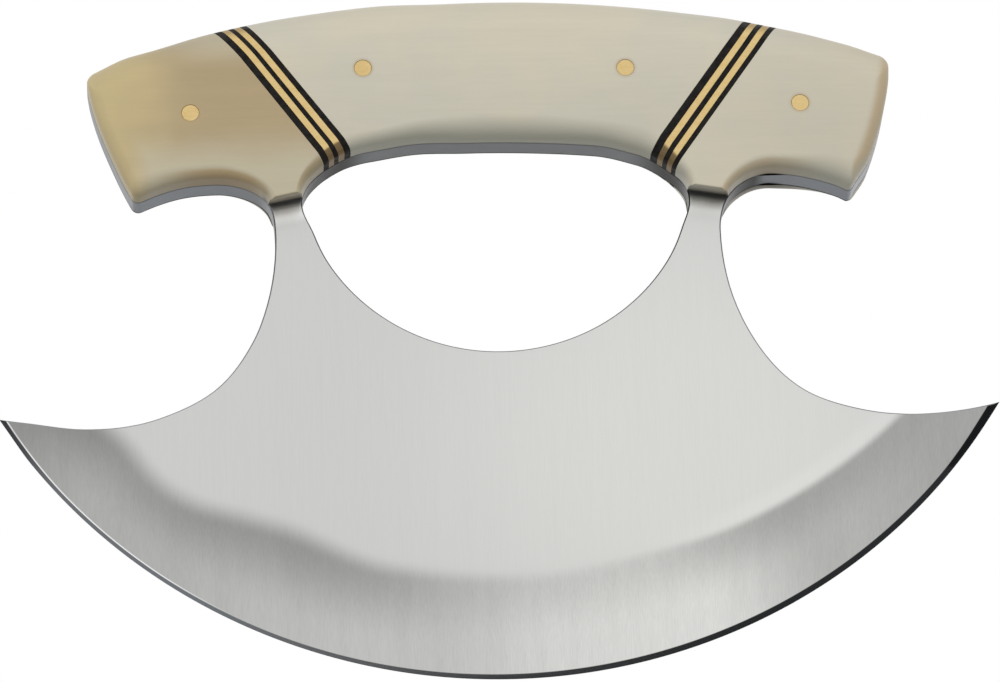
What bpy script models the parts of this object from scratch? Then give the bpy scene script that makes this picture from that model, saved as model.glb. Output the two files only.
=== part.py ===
"""Ulu knife: a crescent blade and its full tang in one steel plate, with bone grips, layered spacers and brass pins.

Metres, +Z up. The knife stands on its cutting edge, with the grip on top and its front face towards -Y.
The origin is the lowest point of the cutting edge, in the middle of the plate's thickness.
Outlines are drawn in X and Z, and only their right half, because the plate is the same on both sides of X = 0.
"""

import math
from collections import namedtuple

import bmesh
import bpy
from mathutils import Matrix, Vector

Arc = namedtuple("Arc", "centre radius solid_inside")

# Steel plate
PLATE_THICKNESS = 0.00476
EDGE_RADIUS = 0.1047
BAY_RADIUS = 0.0295
BAY_BOTTOM_HEIGHT = 0.0479
HORN_RADIUS = 0.067
NECK_RADIUS = 0.0475
NECK_TURN = math.radians(20.5)
POST_WIDTH = 0.0049
POST_STRAIGHT = 0.0004
FINGER_HOLE_RADIUS = 0.0353
FINGER_HOLE_CENTRE_DROP = 0.0048
FINGER_HOLE_ROOF_RADIUS = 0.160
FINGER_HOLE_ROOF_RISE = 0.0075
FINGER_HOLE_CORNER_RADIUS = 0.010

# Blade grind
GRIND_LINE_RADIUS = 0.1023
GRIND_WIDTH = 0.0186
GRIND_WHEEL_RADIUS = 0.150
SHARPENED_WIDTH = 0.00095
SHOULDER_THICKNESS = 0.00084
EDGE_LAND = 0.00006

# Grip outline
GRIP_MIDDLE_DEPTH = 0.0269
GRIP_TOP_RADIUS = 0.230
GRIP_OVERHANG = 0.0326
GRIP_END_RADIUS = 0.062
GRIP_END_CENTRE_DROP = 0.0080
GRIP_UNDERSIDE_RADIUS = 0.038
GRIP_ROOT_RADIUS = 0.010
GRIP_TOP_CORNER_RADIUS = 0.0022
GRIP_LOWER_CORNER_RADIUS = 0.0014

# Bone grips
GRIP_THICKNESS = 0.0052
TOP_SHOULDER = 0.0042
END_SHOULDER = 0.0020
UNDERSIDE_SHOULDER = 0.0033
POST_SHOULDER = 0.0011
SHOULDER_DRAFT_SHARE = 0.45
GRIP_FOOT_DROP = 0.0032
GRIP_FOOT_SLOPE = math.radians(10.0)

# Spacer stacks
BLACK_LAYER = 0.00095
BRASS_LAYER = 0.00112
MIDDLE_BLACK_LAYER = 0.00077
STACK_LEAN = math.radians(36.2)
LEFT_STACK_INSET = 0.0032
RIGHT_STACK_INSET = 0.0002
STACK_HEIGHT_SHARE = 0.462

# Pins
PIN_DIAMETER = 0.003175
OUTER_PIN_OVERHANG_SHARES = {-1: 0.449, 1: 0.466}
OUTER_PIN_HEIGHT_SHARE = 0.352
INNER_PIN_HOLE_SHARES = {-1: 0.666, 1: 0.680}
INNER_PIN_DEPTH_SHARES = {-1: 0.476, 1: 0.448}

# Fits
GLUE_FILM = 0.00005
PIN_CLEARANCE = 0.00005
CUT_OVERRUN = 0.004
WELD_DISTANCE = 0.000005

# Fineness of round shapes, in steps
EDGE_STEPS = 44
LONG_ARC_STEPS = 16
ARC_STEPS = 10
CORNER_STEPS = 4
GRIND_STEPS = 5
SHOULDER_STEPS = 6
PIN_SIDES = 24

HALF_PLATE = PLATE_THICKNESS / 2
FRONT, REAR = -1, 1
LEFT, RIGHT = -1, 1

# Places that follow from the sizes, from the blade up
POST_OUTER_X = FINGER_HOLE_RADIUS + POST_WIDTH
ROOT_X = POST_OUTER_X + GRIP_ROOT_RADIUS
NECK_LEAD = NECK_RADIUS - BAY_RADIUS
BAY_CENTRE_X = POST_OUTER_X + NECK_RADIUS - NECK_LEAD * math.cos(NECK_TURN)
BAY_CENTRE_HEIGHT = BAY_BOTTOM_HEIGHT + BAY_RADIUS
NECK_CENTRE_HEIGHT = BAY_CENTRE_HEIGHT + NECK_LEAD * math.sin(NECK_TURN)
ROOT_CENTRE_HEIGHT = NECK_CENTRE_HEIGHT + POST_STRAIGHT
UNDERSIDE_HEIGHT = ROOT_CENTRE_HEIGHT + GRIP_ROOT_RADIUS
ROOF_HEIGHT = UNDERSIDE_HEIGHT + FINGER_HOLE_ROOF_RISE
GRIP_TOP_HEIGHT = ROOF_HEIGHT + GRIP_MIDDLE_DEPTH
GRIP_END_CENTRE_X = POST_OUTER_X + GRIP_OVERHANG - GRIP_END_RADIUS

EDGE = Arc(Vector((0, EDGE_RADIUS)), EDGE_RADIUS, True)
GRIND_LINE = Arc(Vector((0, GRIND_WIDTH + GRIND_LINE_RADIUS)), GRIND_LINE_RADIUS, True)
HORN = Arc(Vector((BAY_CENTRE_X, BAY_BOTTOM_HEIGHT + HORN_RADIUS)), HORN_RADIUS, False)
BAY = Arc(Vector((BAY_CENTRE_X, BAY_CENTRE_HEIGHT)), BAY_RADIUS, False)
NECK = Arc(Vector((POST_OUTER_X + NECK_RADIUS, NECK_CENTRE_HEIGHT)), NECK_RADIUS, False)
ROOT = Arc(Vector((ROOT_X, ROOT_CENTRE_HEIGHT)), GRIP_ROOT_RADIUS, False)
UNDERSIDE = Arc(Vector((ROOT_X, UNDERSIDE_HEIGHT - GRIP_UNDERSIDE_RADIUS)), GRIP_UNDERSIDE_RADIUS, False)
GRIP_END = Arc(Vector((GRIP_END_CENTRE_X, GRIP_TOP_HEIGHT - GRIP_END_CENTRE_DROP)), GRIP_END_RADIUS, True)
GRIP_TOP = Arc(Vector((0, GRIP_TOP_HEIGHT - GRIP_TOP_RADIUS)), GRIP_TOP_RADIUS, True)
HOLE = Arc(Vector((0, ROOF_HEIGHT - FINGER_HOLE_CENTRE_DROP)), FINGER_HOLE_RADIUS, False)
ROOF = Arc(Vector((0, ROOF_HEIGHT - FINGER_HOLE_ROOF_RADIUS)), FINGER_HOLE_ROOF_RADIUS, False)


def clear_scene():
    for old in list(bpy.data.objects):
        bpy.data.objects.remove(old, do_unlink=True)


def new_collection(name):
    collection = bpy.data.collections.new(name)
    bpy.context.scene.collection.children.link(collection)
    return collection


def new_material(name, colour, roughness, metallic):
    material = bpy.data.materials.new(name)
    material.use_nodes = True
    shader = material.node_tree.nodes["Principled BSDF"]
    shader.inputs["Base Color"].default_value = (*colour, 1)
    shader.inputs["Roughness"].default_value = roughness
    shader.inputs["Metallic"].default_value = metallic
    material.diffuse_color = (*colour, 1)
    return material


def angle_of(vector):
    return math.atan2(vector.y, vector.x)


def polar(centre, radius, angle):
    return Vector((centre.x + radius * math.cos(angle), centre.y + radius * math.sin(angle)))


def arc_points(arc, start, end, steps, radius_at=None):
    """Points along an arc from one angle to another. radius_at may vary the radius with the share travelled."""
    points = []
    for step in range(steps + 1):
        share = step / steps
        radius = radius_at(share) if radius_at else arc.radius
        points.append(polar(arc.centre, radius, start + (end - start) * share))
    return points


def moved_in(arc, distance):
    """The arc moved into the solid by a distance."""
    radius = arc.radius - distance if arc.solid_inside else arc.radius + distance
    return Arc(arc.centre, radius, arc.solid_inside)


def crossings(first, second):
    """The two points where two circles cross."""
    between = second.centre - first.centre
    distance = between.length
    along = (first.radius ** 2 - second.radius ** 2 + distance ** 2) / (2 * distance)
    across = math.sqrt(max(first.radius ** 2 - along ** 2, 0))
    unit = between / distance
    side = Vector((unit.y, -unit.x))
    return [first.centre + unit * along + side * across * sign for sign in (1, -1)]


def right_hand_crossing(first, second):
    return max(crossings(first, second), key=lambda point: point.x)


def blade_tip():
    """The right tip, where the cutting edge meets the horn. The two circles cross there and again higher up."""
    return min(crossings(EDGE, HORN), key=lambda point: point.y)


def touch_angle(arc, point):
    """The direction from a rounding's centre to where it touches the arc."""
    towards = point - arc.centre if arc.solid_inside else arc.centre - point
    return angle_of(towards)


def corner_centre(first, second, radius):
    return right_hand_crossing(moved_in(first, radius), moved_in(second, radius))


def corner_points(first, second, radius):
    centre = corner_centre(first, second, radius)
    start, end = touch_angle(first, centre), touch_angle(second, centre)
    if end < start:
        end += 2 * math.pi
    return arc_points(Arc(centre, radius, True), start, end, CORNER_STEPS)


def hole_corner():
    """The rounding between the round part of the finger hole and its flatter roof."""
    radius = FINGER_HOLE_CORNER_RADIUS
    bowl = Arc(HOLE.centre, HOLE.radius - radius, False)
    roof = Arc(ROOF.centre, ROOF.radius - radius, False)
    return Arc(right_hand_crossing(bowl, roof), radius, False)


def mirrored(points):
    return [Vector((-point.x, point.y)) for point in reversed(points)]


def joined(*runs):
    """Runs of points end to end, with each joint kept once."""
    points = list(runs[0])
    for run in runs[1:]:
        points += run[1:]
    return points


def closed_by_mirror(side):
    """A whole outline from its right half, which starts and ends on X = 0."""
    return side + mirrored(side)[1:-1]


def grip_side(insets):
    """The right half of the grip's outline, from the underside's root round the end to the middle of the top."""
    top_inset, end_inset, underside_inset, post_inset = insets
    top = moved_in(GRIP_TOP, top_inset)
    end = moved_in(GRIP_END, end_inset)
    underside = moved_in(UNDERSIDE, underside_inset)
    used_up = underside_inset / UNDERSIDE_SHOULDER
    lower_radius = GRIP_LOWER_CORNER_RADIUS * (1 - used_up / 2)
    upper_radius = GRIP_TOP_CORNER_RADIUS * (1 - used_up / 2)
    lower = corner_centre(underside, end, lower_radius)
    upper = corner_centre(end, top, upper_radius)

    def root_radius(share):
        ease = (1 - math.cos(math.pi * share)) / 2
        return ROOT.radius + post_inset + (underside_inset - post_inset) * ease

    return joined(
        arc_points(ROOT, math.pi, math.pi / 2, ARC_STEPS, root_radius),
        arc_points(underside, math.pi / 2, angle_of(lower - underside.centre), ARC_STEPS),
        corner_points(underside, end, lower_radius),
        arc_points(end, angle_of(lower - end.centre), angle_of(upper - end.centre), ARC_STEPS),
        corner_points(end, top, upper_radius),
        arc_points(top, angle_of(upper - top.centre), math.pi / 2, LONG_ARC_STEPS),
    )


def finger_hole_side(insets, lowest_angle):
    """The right half of the finger hole, from an angle on its bowl up to the middle of its roof."""
    underside_inset, post_inset = insets[2], insets[3]
    corner = hole_corner()
    bowl = moved_in(HOLE, post_inset)
    roof = moved_in(ROOF, underside_inset)
    bowl_end = angle_of(corner.centre - HOLE.centre)
    roof_start = angle_of(corner.centre - ROOF.centre)

    def corner_radius(share):
        ease = (1 - math.cos(math.pi * share)) / 2
        return corner.radius + post_inset + (underside_inset - post_inset) * ease

    return joined(
        arc_points(bowl, lowest_angle, bowl_end, ARC_STEPS),
        arc_points(corner, bowl_end, roof_start, ARC_STEPS, corner_radius),
        arc_points(roof, roof_start, math.pi / 2, ARC_STEPS),
    )


def plate_outlines():
    """The plate's outer outline and its finger hole."""
    no_insets = (0, 0, 0, 0)
    tip = blade_tip()
    blade = joined(
        arc_points(EDGE, -math.pi / 2, angle_of(tip - EDGE.centre), EDGE_STEPS),
        arc_points(HORN, angle_of(tip - HORN.centre), -math.pi / 2, CORNER_STEPS),
        arc_points(BAY, -math.pi / 2, NECK_TURN - math.pi, LONG_ARC_STEPS),
        arc_points(NECK, NECK_TURN - math.pi, -math.pi, CORNER_STEPS),
    )
    hole = finger_hole_side(no_insets, -math.pi / 2)
    return closed_by_mirror(blade + grip_side(no_insets)), closed_by_mirror(hole)


def flat_plate(name, outlines, thickness):
    """A plate from outlines in X and Z, centred on Y = 0, as a mesh object."""
    curve = bpy.data.curves.new(name + "_outline", "CURVE")
    curve.dimensions = "2D"
    curve.fill_mode = "BOTH"
    curve.extrude = thickness / 2
    for outline in outlines:
        spline = curve.splines.new("POLY")
        spline.points.add(len(outline) - 1)
        for spot, point in zip(spline.points, outline):
            spot.co = (point.x, point.y, 0, 1)
        spline.use_cyclic_u = True
    drawn = bpy.data.objects.new(name + "_outline", curve)
    bpy.context.scene.collection.objects.link(drawn)
    drawn.matrix_world = Matrix.Rotation(math.pi / 2, 4, "X")
    bpy.context.view_layer.update()
    evaluated = drawn.evaluated_get(bpy.context.evaluated_depsgraph_get())
    mesh = bpy.data.meshes.new_from_object(evaluated)
    mesh.transform(drawn.matrix_world)
    weld_and_close(mesh)
    bpy.data.objects.remove(drawn, do_unlink=True)
    return bpy.data.objects.new(name, mesh)


def weld_and_close(mesh):
    shape = bmesh.new()
    shape.from_mesh(mesh)
    bmesh.ops.remove_doubles(shape, verts=shape.verts, dist=WELD_DISTANCE)
    bmesh.ops.recalc_face_normals(shape, faces=shape.faces)
    shape.to_mesh(mesh)
    shape.free()


def lofted(name, rings, closed_sections):
    """A solid through rings of as many points each, with a cap on the first ring and on the last."""
    shape = bmesh.new()
    rows = [[shape.verts.new(point) for point in ring] for ring in rings]
    spans = len(rows[0]) if closed_sections else len(rows[0]) - 1
    for low, high in zip(rows, rows[1:]):
        for index in range(spans):
            after = (index + 1) % len(low)
            shape.faces.new((low[index], low[after], high[after], high[index]))
    shape.faces.new(rows[0])
    shape.faces.new(rows[-1])
    mesh = bpy.data.meshes.new(name)
    bmesh.ops.recalc_face_normals(shape, faces=shape.faces)
    shape.to_mesh(mesh)
    shape.free()
    return bpy.data.objects.new(name, mesh)


def grind_section(angle, face):
    """One section of what the wheel takes off a face, as points in X, Y and Z, at an angle round the edge's centre."""
    outwards = Vector((math.sin(angle), -math.cos(angle)))
    offset = EDGE.centre - GRIND_LINE.centre
    along = outwards.dot(offset)
    start = -along + math.sqrt(along ** 2 - offset.length_squared + GRIND_LINE.radius ** 2)
    shoulder = EDGE.radius - SHARPENED_WIDTH
    width = shoulder - start
    drop = (PLATE_THICKNESS - SHOULDER_THICKNESS) / 2
    hollow = width ** 2 / (2 * GRIND_WHEEL_RADIUS)
    above = HALF_PLATE + CUT_OVERRUN
    hollowed = []
    for step in range(1, GRIND_STEPS + 1):
        share = step / GRIND_STEPS
        depth = drop * share + hollow * share * (1 - share)
        hollowed.append((start + width * share, HALF_PLATE - depth))
    run, fall = hollowed[0][0] - start, HALF_PLATE - hollowed[0][1]
    profile = [(start - CUT_OVERRUN * run / fall, above)] + hollowed
    profile.append((EDGE.radius + EDGE_LAND, EDGE_LAND / 2))
    profile.append((EDGE.radius + CUT_OVERRUN, EDGE_LAND / 2))
    profile.append((EDGE.radius + CUT_OVERRUN, above))
    section = []
    for radius, height in profile:
        flat = EDGE.centre + outwards * radius
        section.append(Vector((flat.x, face * height, flat.y)))
    return section


def grind_cutter(face, cutters):
    tip = blade_tip()
    reach = angle_of(tip - EDGE.centre) + math.pi / 2 + CUT_OVERRUN / EDGE_RADIUS
    steps = 2 * EDGE_STEPS + 1
    sections = [grind_section(reach * (2 * step / steps - 1), face) for step in range(steps + 1)]
    name = "front_grind_cutter" if face == FRONT else "rear_grind_cutter"
    return as_cutter(lofted(name, sections, True), cutters)


def as_cutter(cutter, cutters):
    cutters.objects.link(cutter)
    cutter.hide_render = True
    cutter.display_type = "WIRE"
    return cutter


def box_cutter(name, low, high, placed, cutters):
    """A box between two corners of its own frame, placed by a matrix."""
    shape = bmesh.new()
    bmesh.ops.create_cube(shape, size=1)
    size = Vector(high) - Vector(low)
    middle = (Vector(high) + Vector(low)) / 2
    bmesh.ops.scale(shape, vec=size, verts=shape.verts)
    bmesh.ops.translate(shape, vec=middle, verts=shape.verts)
    bmesh.ops.transform(shape, matrix=placed, verts=shape.verts)
    bmesh.ops.recalc_face_normals(shape, faces=shape.faces)
    mesh = bpy.data.meshes.new(name)
    shape.to_mesh(mesh)
    shape.free()
    return as_cutter(bpy.data.objects.new(name, mesh), cutters)


def pin_shape(name, radius, half_length):
    """A round bar along Y, centred on the origin."""
    shape = bmesh.new()
    bmesh.ops.create_cone(
        shape, cap_ends=True, segments=PIN_SIDES, radius1=radius, radius2=radius, depth=2 * half_length
    )
    bmesh.ops.rotate(shape, matrix=Matrix.Rotation(math.pi / 2, 3, "X"), verts=shape.verts)
    mesh = bpy.data.meshes.new(name)
    shape.to_mesh(mesh)
    shape.free()
    return bpy.data.objects.new(name, mesh)


def cut(piece, cutter, operation="DIFFERENCE"):
    modifier = piece.modifiers.new(operation.lower() + "_" + cutter.name, "BOOLEAN")
    modifier.operation = operation
    modifier.object = cutter
    modifier.solver = "EXACT"


def finish(piece, material, parts, root):
    piece.data.materials.clear()
    piece.data.materials.append(material)
    piece.data.shade_smooth()
    piece.data.set_sharp_from_angle(angle=math.radians(30))
    parts.objects.link(piece)
    piece.parent = root


def shoulder_inset_share(share):
    """How far the grip's side has come in, as a share of its shoulder, at a share of its thickness."""
    rounding = 1 - math.sqrt(max(1 - share ** 2, 0))
    return SHOULDER_DRAFT_SHARE * share + (1 - SHOULDER_DRAFT_SHARE) * rounding


def grip_ring(share, face):
    """The grip blank's outline at a share of its thickness, from its glued face outwards."""
    inset_share = shoulder_inset_share(share)
    shoulders = (TOP_SHOULDER, END_SHOULDER, UNDERSIDE_SHOULDER, POST_SHOULDER)
    insets = [shoulder * inset_share for shoulder in shoulders]
    foot_height = NECK_CENTRE_HEIGHT - GRIP_ROOT_RADIUS / 2
    bowl = moved_in(HOLE, insets[3])
    lowest_angle = math.asin((foot_height - bowl.centre.y) / bowl.radius)
    outer = [Vector((POST_OUTER_X - insets[3], foot_height))] + grip_side(insets)
    inner = finger_hole_side(insets, lowest_angle)
    y = face * (HALF_PLATE + GLUE_FILM + GRIP_THICKNESS * share)
    loop = outer + mirrored(outer)[1:] + [Vector((-point.x, point.y)) for point in inner]
    loop += list(reversed(inner))[1:]
    return [Vector((point.x, y, point.y)) for point in loop]


def grip_blank(face):
    """The whole grip of one face, before it is divided by the spacers."""
    shares = [math.sin(math.pi / 2 * step / SHOULDER_STEPS) for step in range(SHOULDER_STEPS + 1)]
    return lofted("grip_blank", [grip_ring(share, face) for share in shares], True)


def stack_frame(side):
    """A frame on a spacer stack: its X runs out of the stack towards the grip's end, and its Z up the stack."""
    inset = RIGHT_STACK_INSET if side == RIGHT else LEFT_STACK_INSET
    height = UNDERSIDE_HEIGHT + (GRIP_TOP_HEIGHT - UNDERSIDE_HEIGHT) * STACK_HEIGHT_SHARE
    turn = Matrix.Rotation(side * STACK_LEAN, 4, "Y")
    mirror = Matrix.Scale(side, 4, Vector((1, 0, 0)))
    return Matrix.Translation((side * (POST_OUTER_X - inset), 0, height)) @ turn @ mirror


def layer_bounds():
    """Each layer's name with its lowest and highest distance from the stack's middle, the grip's centre side first."""
    layers = (
        ("inner_black_spacer", BLACK_LAYER),
        ("inner_brass_spacer", BRASS_LAYER),
        ("middle_black_spacer", MIDDLE_BLACK_LAYER),
        ("outer_brass_spacer", BRASS_LAYER),
        ("outer_black_spacer", BLACK_LAYER),
    )
    total = sum(thickness for _, thickness in layers) + GLUE_FILM * (len(layers) - 1)
    bounds = []
    at = -total / 2
    for name, thickness in layers:
        bounds.append((name, at, at + thickness))
        at += thickness + GLUE_FILM
    return bounds


def make_cutters(cutters):
    """Every cutter that the grips share, by name."""
    reach = GRIP_TOP_HEIGHT
    depth = HALF_PLATE + GLUE_FILM + GRIP_THICKNESS + CUT_OVERRUN
    bounds = layer_bounds()
    made = {}
    for side, side_name in ((LEFT, "left"), (RIGHT, "right")):
        placed = stack_frame(side)
        for name, low, high in bounds:
            key = side_name + "_" + name
            made[key] = box_cutter(key + "_cutter", (low, -depth, -reach / 2), (high, depth, reach / 2), placed, cutters)
        start = bounds[0][1] - GLUE_FILM
        end = bounds[-1][2] + GLUE_FILM
        made[side_name + "_beyond"] = box_cutter(
            side_name + "_beyond_cutter", (start, -depth, -reach), (reach, depth, reach), placed, cutters
        )
        made[side_name + "_within"] = box_cutter(
            side_name + "_within_cutter", (-reach, -depth, -reach), (end, depth, reach), placed, cutters
        )
        post_x = POST_OUTER_X - POST_WIDTH / 2
        turn = Matrix.Rotation(side * GRIP_FOOT_SLOPE, 4, "Y")
        placed = Matrix.Translation((side * post_x, 0, UNDERSIDE_HEIGHT - GRIP_FOOT_DROP)) @ turn
        low = (-FINGER_HOLE_RADIUS / 2, -depth, -BAY_RADIUS)
        high = (FINGER_HOLE_RADIUS / 2, depth, 0)
        made[side_name + "_foot"] = box_cutter(side_name + "_foot_cutter", low, high, placed, cutters)
    hole = pin_shape("pin_hole_cutter", PIN_DIAMETER / 2 + PIN_CLEARANCE, depth)
    for name, place in pin_places().items():
        copy = bpy.data.objects.new(name + "_hole_cutter", hole.data)
        made[name] = as_cutter(copy, cutters)
        made[name].location = place
    bpy.data.objects.remove(hole, do_unlink=True)
    return made


def pin_places():
    outer_height = UNDERSIDE_HEIGHT + (GRIP_TOP_HEIGHT - UNDERSIDE_HEIGHT) * OUTER_PIN_HEIGHT_SHARE
    places = {}
    for side, side_name in ((LEFT, "left"), (RIGHT, "right")):
        outer_x = POST_OUTER_X + GRIP_OVERHANG * OUTER_PIN_OVERHANG_SHARES[side]
        inner_x = FINGER_HOLE_RADIUS * INNER_PIN_HOLE_SHARES[side]
        inner_height = ROOF_HEIGHT + GRIP_MIDDLE_DEPTH * INNER_PIN_DEPTH_SHARES[side]
        places[side_name + "_outer_pin"] = Vector((side * outer_x, 0, outer_height))
        places[side_name + "_inner_pin"] = Vector((side * inner_x, 0, inner_height))
    return places


def make_plate(steel, parts, cutters, made, root):
    plate = flat_plate("blade_and_tang", plate_outlines(), PLATE_THICKNESS)
    for face in (FRONT, REAR):
        cut(plate, grind_cutter(face, cutters))
    for name in pin_places():
        cut(plate, made[name])
    finish(plate, steel, parts, root)


def make_grips(face, face_name, materials, parts, made, root):
    bone, black, brass = materials
    blank = grip_blank(face)
    centre = bpy.data.objects.new(face_name + "_centre_grip", blank.data.copy())
    for side_name in ("left", "right"):
        cut(centre, made[side_name + "_beyond"])
        cut(centre, made[side_name + "_inner_pin"])
    finish(centre, bone, parts, root)
    for side_name in ("left", "right"):
        end = bpy.data.objects.new(face_name + "_" + side_name + "_grip", blank.data.copy())
        cut(end, made[side_name + "_within"])
        cut(end, made[side_name + "_foot"])
        cut(end, made[side_name + "_outer_pin"])
        finish(end, bone, parts, root)
        for name, _, _ in layer_bounds():
            layer = bpy.data.objects.new(face_name + "_" + side_name + "_" + name, blank.data.copy())
            cut(layer, made[side_name + "_" + name], "INTERSECT")
            finish(layer, brass if "brass" in name else black, parts, root)
    bpy.data.objects.remove(blank, do_unlink=True)


def make_pins(brass, parts, root):
    half_length = HALF_PLATE + GLUE_FILM + GRIP_THICKNESS
    for name, place in pin_places().items():
        pin = pin_shape(name, PIN_DIAMETER / 2, half_length)
        pin.location = place
        finish(pin, brass, parts, root)


def main():
    clear_scene()
    parts = new_collection("ulu_knife")
    cutters = new_collection("cutters")
    steel = new_material("satin_steel", (0.62, 0.62, 0.60), 0.35, 1)
    bone = new_material("polished_bone", (0.60, 0.54, 0.42), 0.35, 0)
    black = new_material("black_fibre", (0.012, 0.011, 0.010), 0.5, 0)
    brass = new_material("brass", (0.75, 0.56, 0.27), 0.3, 1)
    root = bpy.data.objects.new("ulu_knife_frame", None)
    parts.objects.link(root)
    made = make_cutters(cutters)
    make_plate(steel, parts, cutters, made, root)
    make_grips(FRONT, "front", (bone, black, brass), parts, made, root)
    make_grips(REAR, "rear", (bone, black, brass), parts, made, root)
    make_pins(brass, parts, root)


main()
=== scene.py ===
# %% [markdown]
# # An ulu knife, dressed
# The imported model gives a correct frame: one steel plate, six bone grips, twenty spacer layers and four pins.
# This lesson builds each piece again with finer curves and softer edges, and gives it its finish.
# Every new piece stands where its plain one is. Its outline then moves a little, as the real knife is shaped
# by hand.

# %% The frame
import math
from collections import namedtuple

import bmesh
import bpy
from mathutils import Matrix, Vector
from mathutils.geometry import tessellate_polygon


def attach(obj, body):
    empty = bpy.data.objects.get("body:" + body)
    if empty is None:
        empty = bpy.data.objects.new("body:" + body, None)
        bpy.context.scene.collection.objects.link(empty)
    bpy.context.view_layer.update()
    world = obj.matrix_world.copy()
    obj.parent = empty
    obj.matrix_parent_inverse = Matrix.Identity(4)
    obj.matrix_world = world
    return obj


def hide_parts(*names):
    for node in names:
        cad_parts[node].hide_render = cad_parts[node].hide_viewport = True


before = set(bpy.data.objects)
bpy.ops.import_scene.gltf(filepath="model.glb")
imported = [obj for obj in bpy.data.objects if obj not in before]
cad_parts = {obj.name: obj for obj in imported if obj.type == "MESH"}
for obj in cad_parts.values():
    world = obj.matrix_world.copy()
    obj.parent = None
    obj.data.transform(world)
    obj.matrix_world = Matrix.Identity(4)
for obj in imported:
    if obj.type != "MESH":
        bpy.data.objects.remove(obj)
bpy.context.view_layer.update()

# %% [markdown]
# ## The knife's sizes
# A knife maker lays out such a plate with compasses, so every outline here is a chain of arcs.
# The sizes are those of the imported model, in metres, with Z up and the front face towards -Y.
# Only the right half is laid out, because the drawn plate is the same on both sides of X = 0.

# %% Sizes of the steel plate
PLATE_THICKNESS = 0.00476
EDGE_RADIUS = 0.1047
BAY_RADIUS = 0.0295
BAY_BOTTOM_HEIGHT = 0.0479
HORN_RADIUS = 0.067
NECK_RADIUS = 0.0475
NECK_TURN = math.radians(20.5)
POST_WIDTH = 0.0049
POST_STRAIGHT = 0.0004
FINGER_HOLE_RADIUS = 0.0353
FINGER_HOLE_CENTRE_DROP = 0.0048
FINGER_HOLE_ROOF_RADIUS = 0.160
FINGER_HOLE_ROOF_RISE = 0.0075
FINGER_HOLE_CORNER_RADIUS = 0.010
GRIND_LINE_RADIUS = 0.1023
GRIND_WIDTH = 0.0186
GRIND_WHEEL_RADIUS = 0.150
SHOULDER_THICKNESS = 0.00084
EDGE_LAND = 0.00006
HALF_PLATE = PLATE_THICKNESS / 2

# %% Sizes of the grips, the spacers and the pins
GRIP_MIDDLE_DEPTH = 0.0269
GRIP_TOP_RADIUS = 0.230
GRIP_OVERHANG = 0.0326
GRIP_END_RADIUS = 0.062
GRIP_END_CENTRE_DROP = 0.0080
GRIP_UNDERSIDE_RADIUS = 0.038
GRIP_ROOT_RADIUS = 0.010
GRIP_TOP_CORNER_RADIUS = 0.0022
GRIP_LOWER_CORNER_RADIUS = 0.0014
GRIP_THICKNESS = 0.0052
UNDERSIDE_SHOULDER = 0.0033
GRIP_FOOT_DROP = 0.0032
GRIP_FOOT_SLOPE = math.radians(10.0)
BLACK_LAYER = 0.00095
BRASS_LAYER = 0.00112
MIDDLE_BLACK_LAYER = 0.00077
STACK_LEAN = math.radians(36.2)
STACK_INSETS = {"left": 0.0032, "right": 0.0002}
STACK_HEIGHT_SHARE = 0.462
PIN_DIAMETER = 0.003175
OUTER_PIN_OVERHANG_SHARES = {"left": 0.449, "right": 0.466}
OUTER_PIN_HEIGHT_SHARE = 0.352
INNER_PIN_HOLE_SHARES = {"left": 0.666, "right": 0.680}
INNER_PIN_DEPTH_SHARES = {"left": 0.476, "right": 0.448}
GLUE_FILM = 0.00005
CUT_OVERRUN = 0.004
SIDES = {"left": -1, "right": 1}
FACES = {"front": -1, "rear": 1}

# %% [markdown]
# ## Arcs and the tools that join them
# An arc knows its centre, its radius and on which side the steel or bone lies.
# Moving an arc into the solid makes the smaller outlines that a rounded or bevelled rim needs.

# %% The arcs
Arc = namedtuple("Arc", "centre radius solid_inside")

POST_OUTER_X = FINGER_HOLE_RADIUS + POST_WIDTH
ROOT_X = POST_OUTER_X + GRIP_ROOT_RADIUS
NECK_LEAD = NECK_RADIUS - BAY_RADIUS
BAY_CENTRE_X = POST_OUTER_X + NECK_RADIUS - NECK_LEAD * math.cos(NECK_TURN)
BAY_CENTRE_HEIGHT = BAY_BOTTOM_HEIGHT + BAY_RADIUS
NECK_CENTRE_HEIGHT = BAY_CENTRE_HEIGHT + NECK_LEAD * math.sin(NECK_TURN)
ROOT_CENTRE_HEIGHT = NECK_CENTRE_HEIGHT + POST_STRAIGHT
UNDERSIDE_HEIGHT = ROOT_CENTRE_HEIGHT + GRIP_ROOT_RADIUS
ROOF_HEIGHT = UNDERSIDE_HEIGHT + FINGER_HOLE_ROOF_RISE
GRIP_TOP_HEIGHT = ROOF_HEIGHT + GRIP_MIDDLE_DEPTH
GRIP_END_CENTRE_X = POST_OUTER_X + GRIP_OVERHANG - GRIP_END_RADIUS

EDGE = Arc(Vector((0, EDGE_RADIUS)), EDGE_RADIUS, True)
GRIND_LINE = Arc(Vector((0, GRIND_WIDTH + GRIND_LINE_RADIUS)), GRIND_LINE_RADIUS, True)
HORN = Arc(Vector((BAY_CENTRE_X, BAY_BOTTOM_HEIGHT + HORN_RADIUS)), HORN_RADIUS, False)
BAY = Arc(Vector((BAY_CENTRE_X, BAY_CENTRE_HEIGHT)), BAY_RADIUS, False)
NECK = Arc(Vector((POST_OUTER_X + NECK_RADIUS, NECK_CENTRE_HEIGHT)), NECK_RADIUS, False)
ROOT = Arc(Vector((ROOT_X, ROOT_CENTRE_HEIGHT)), GRIP_ROOT_RADIUS, False)
UNDERSIDE = Arc(Vector((ROOT_X, UNDERSIDE_HEIGHT - GRIP_UNDERSIDE_RADIUS)), GRIP_UNDERSIDE_RADIUS, False)
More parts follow.
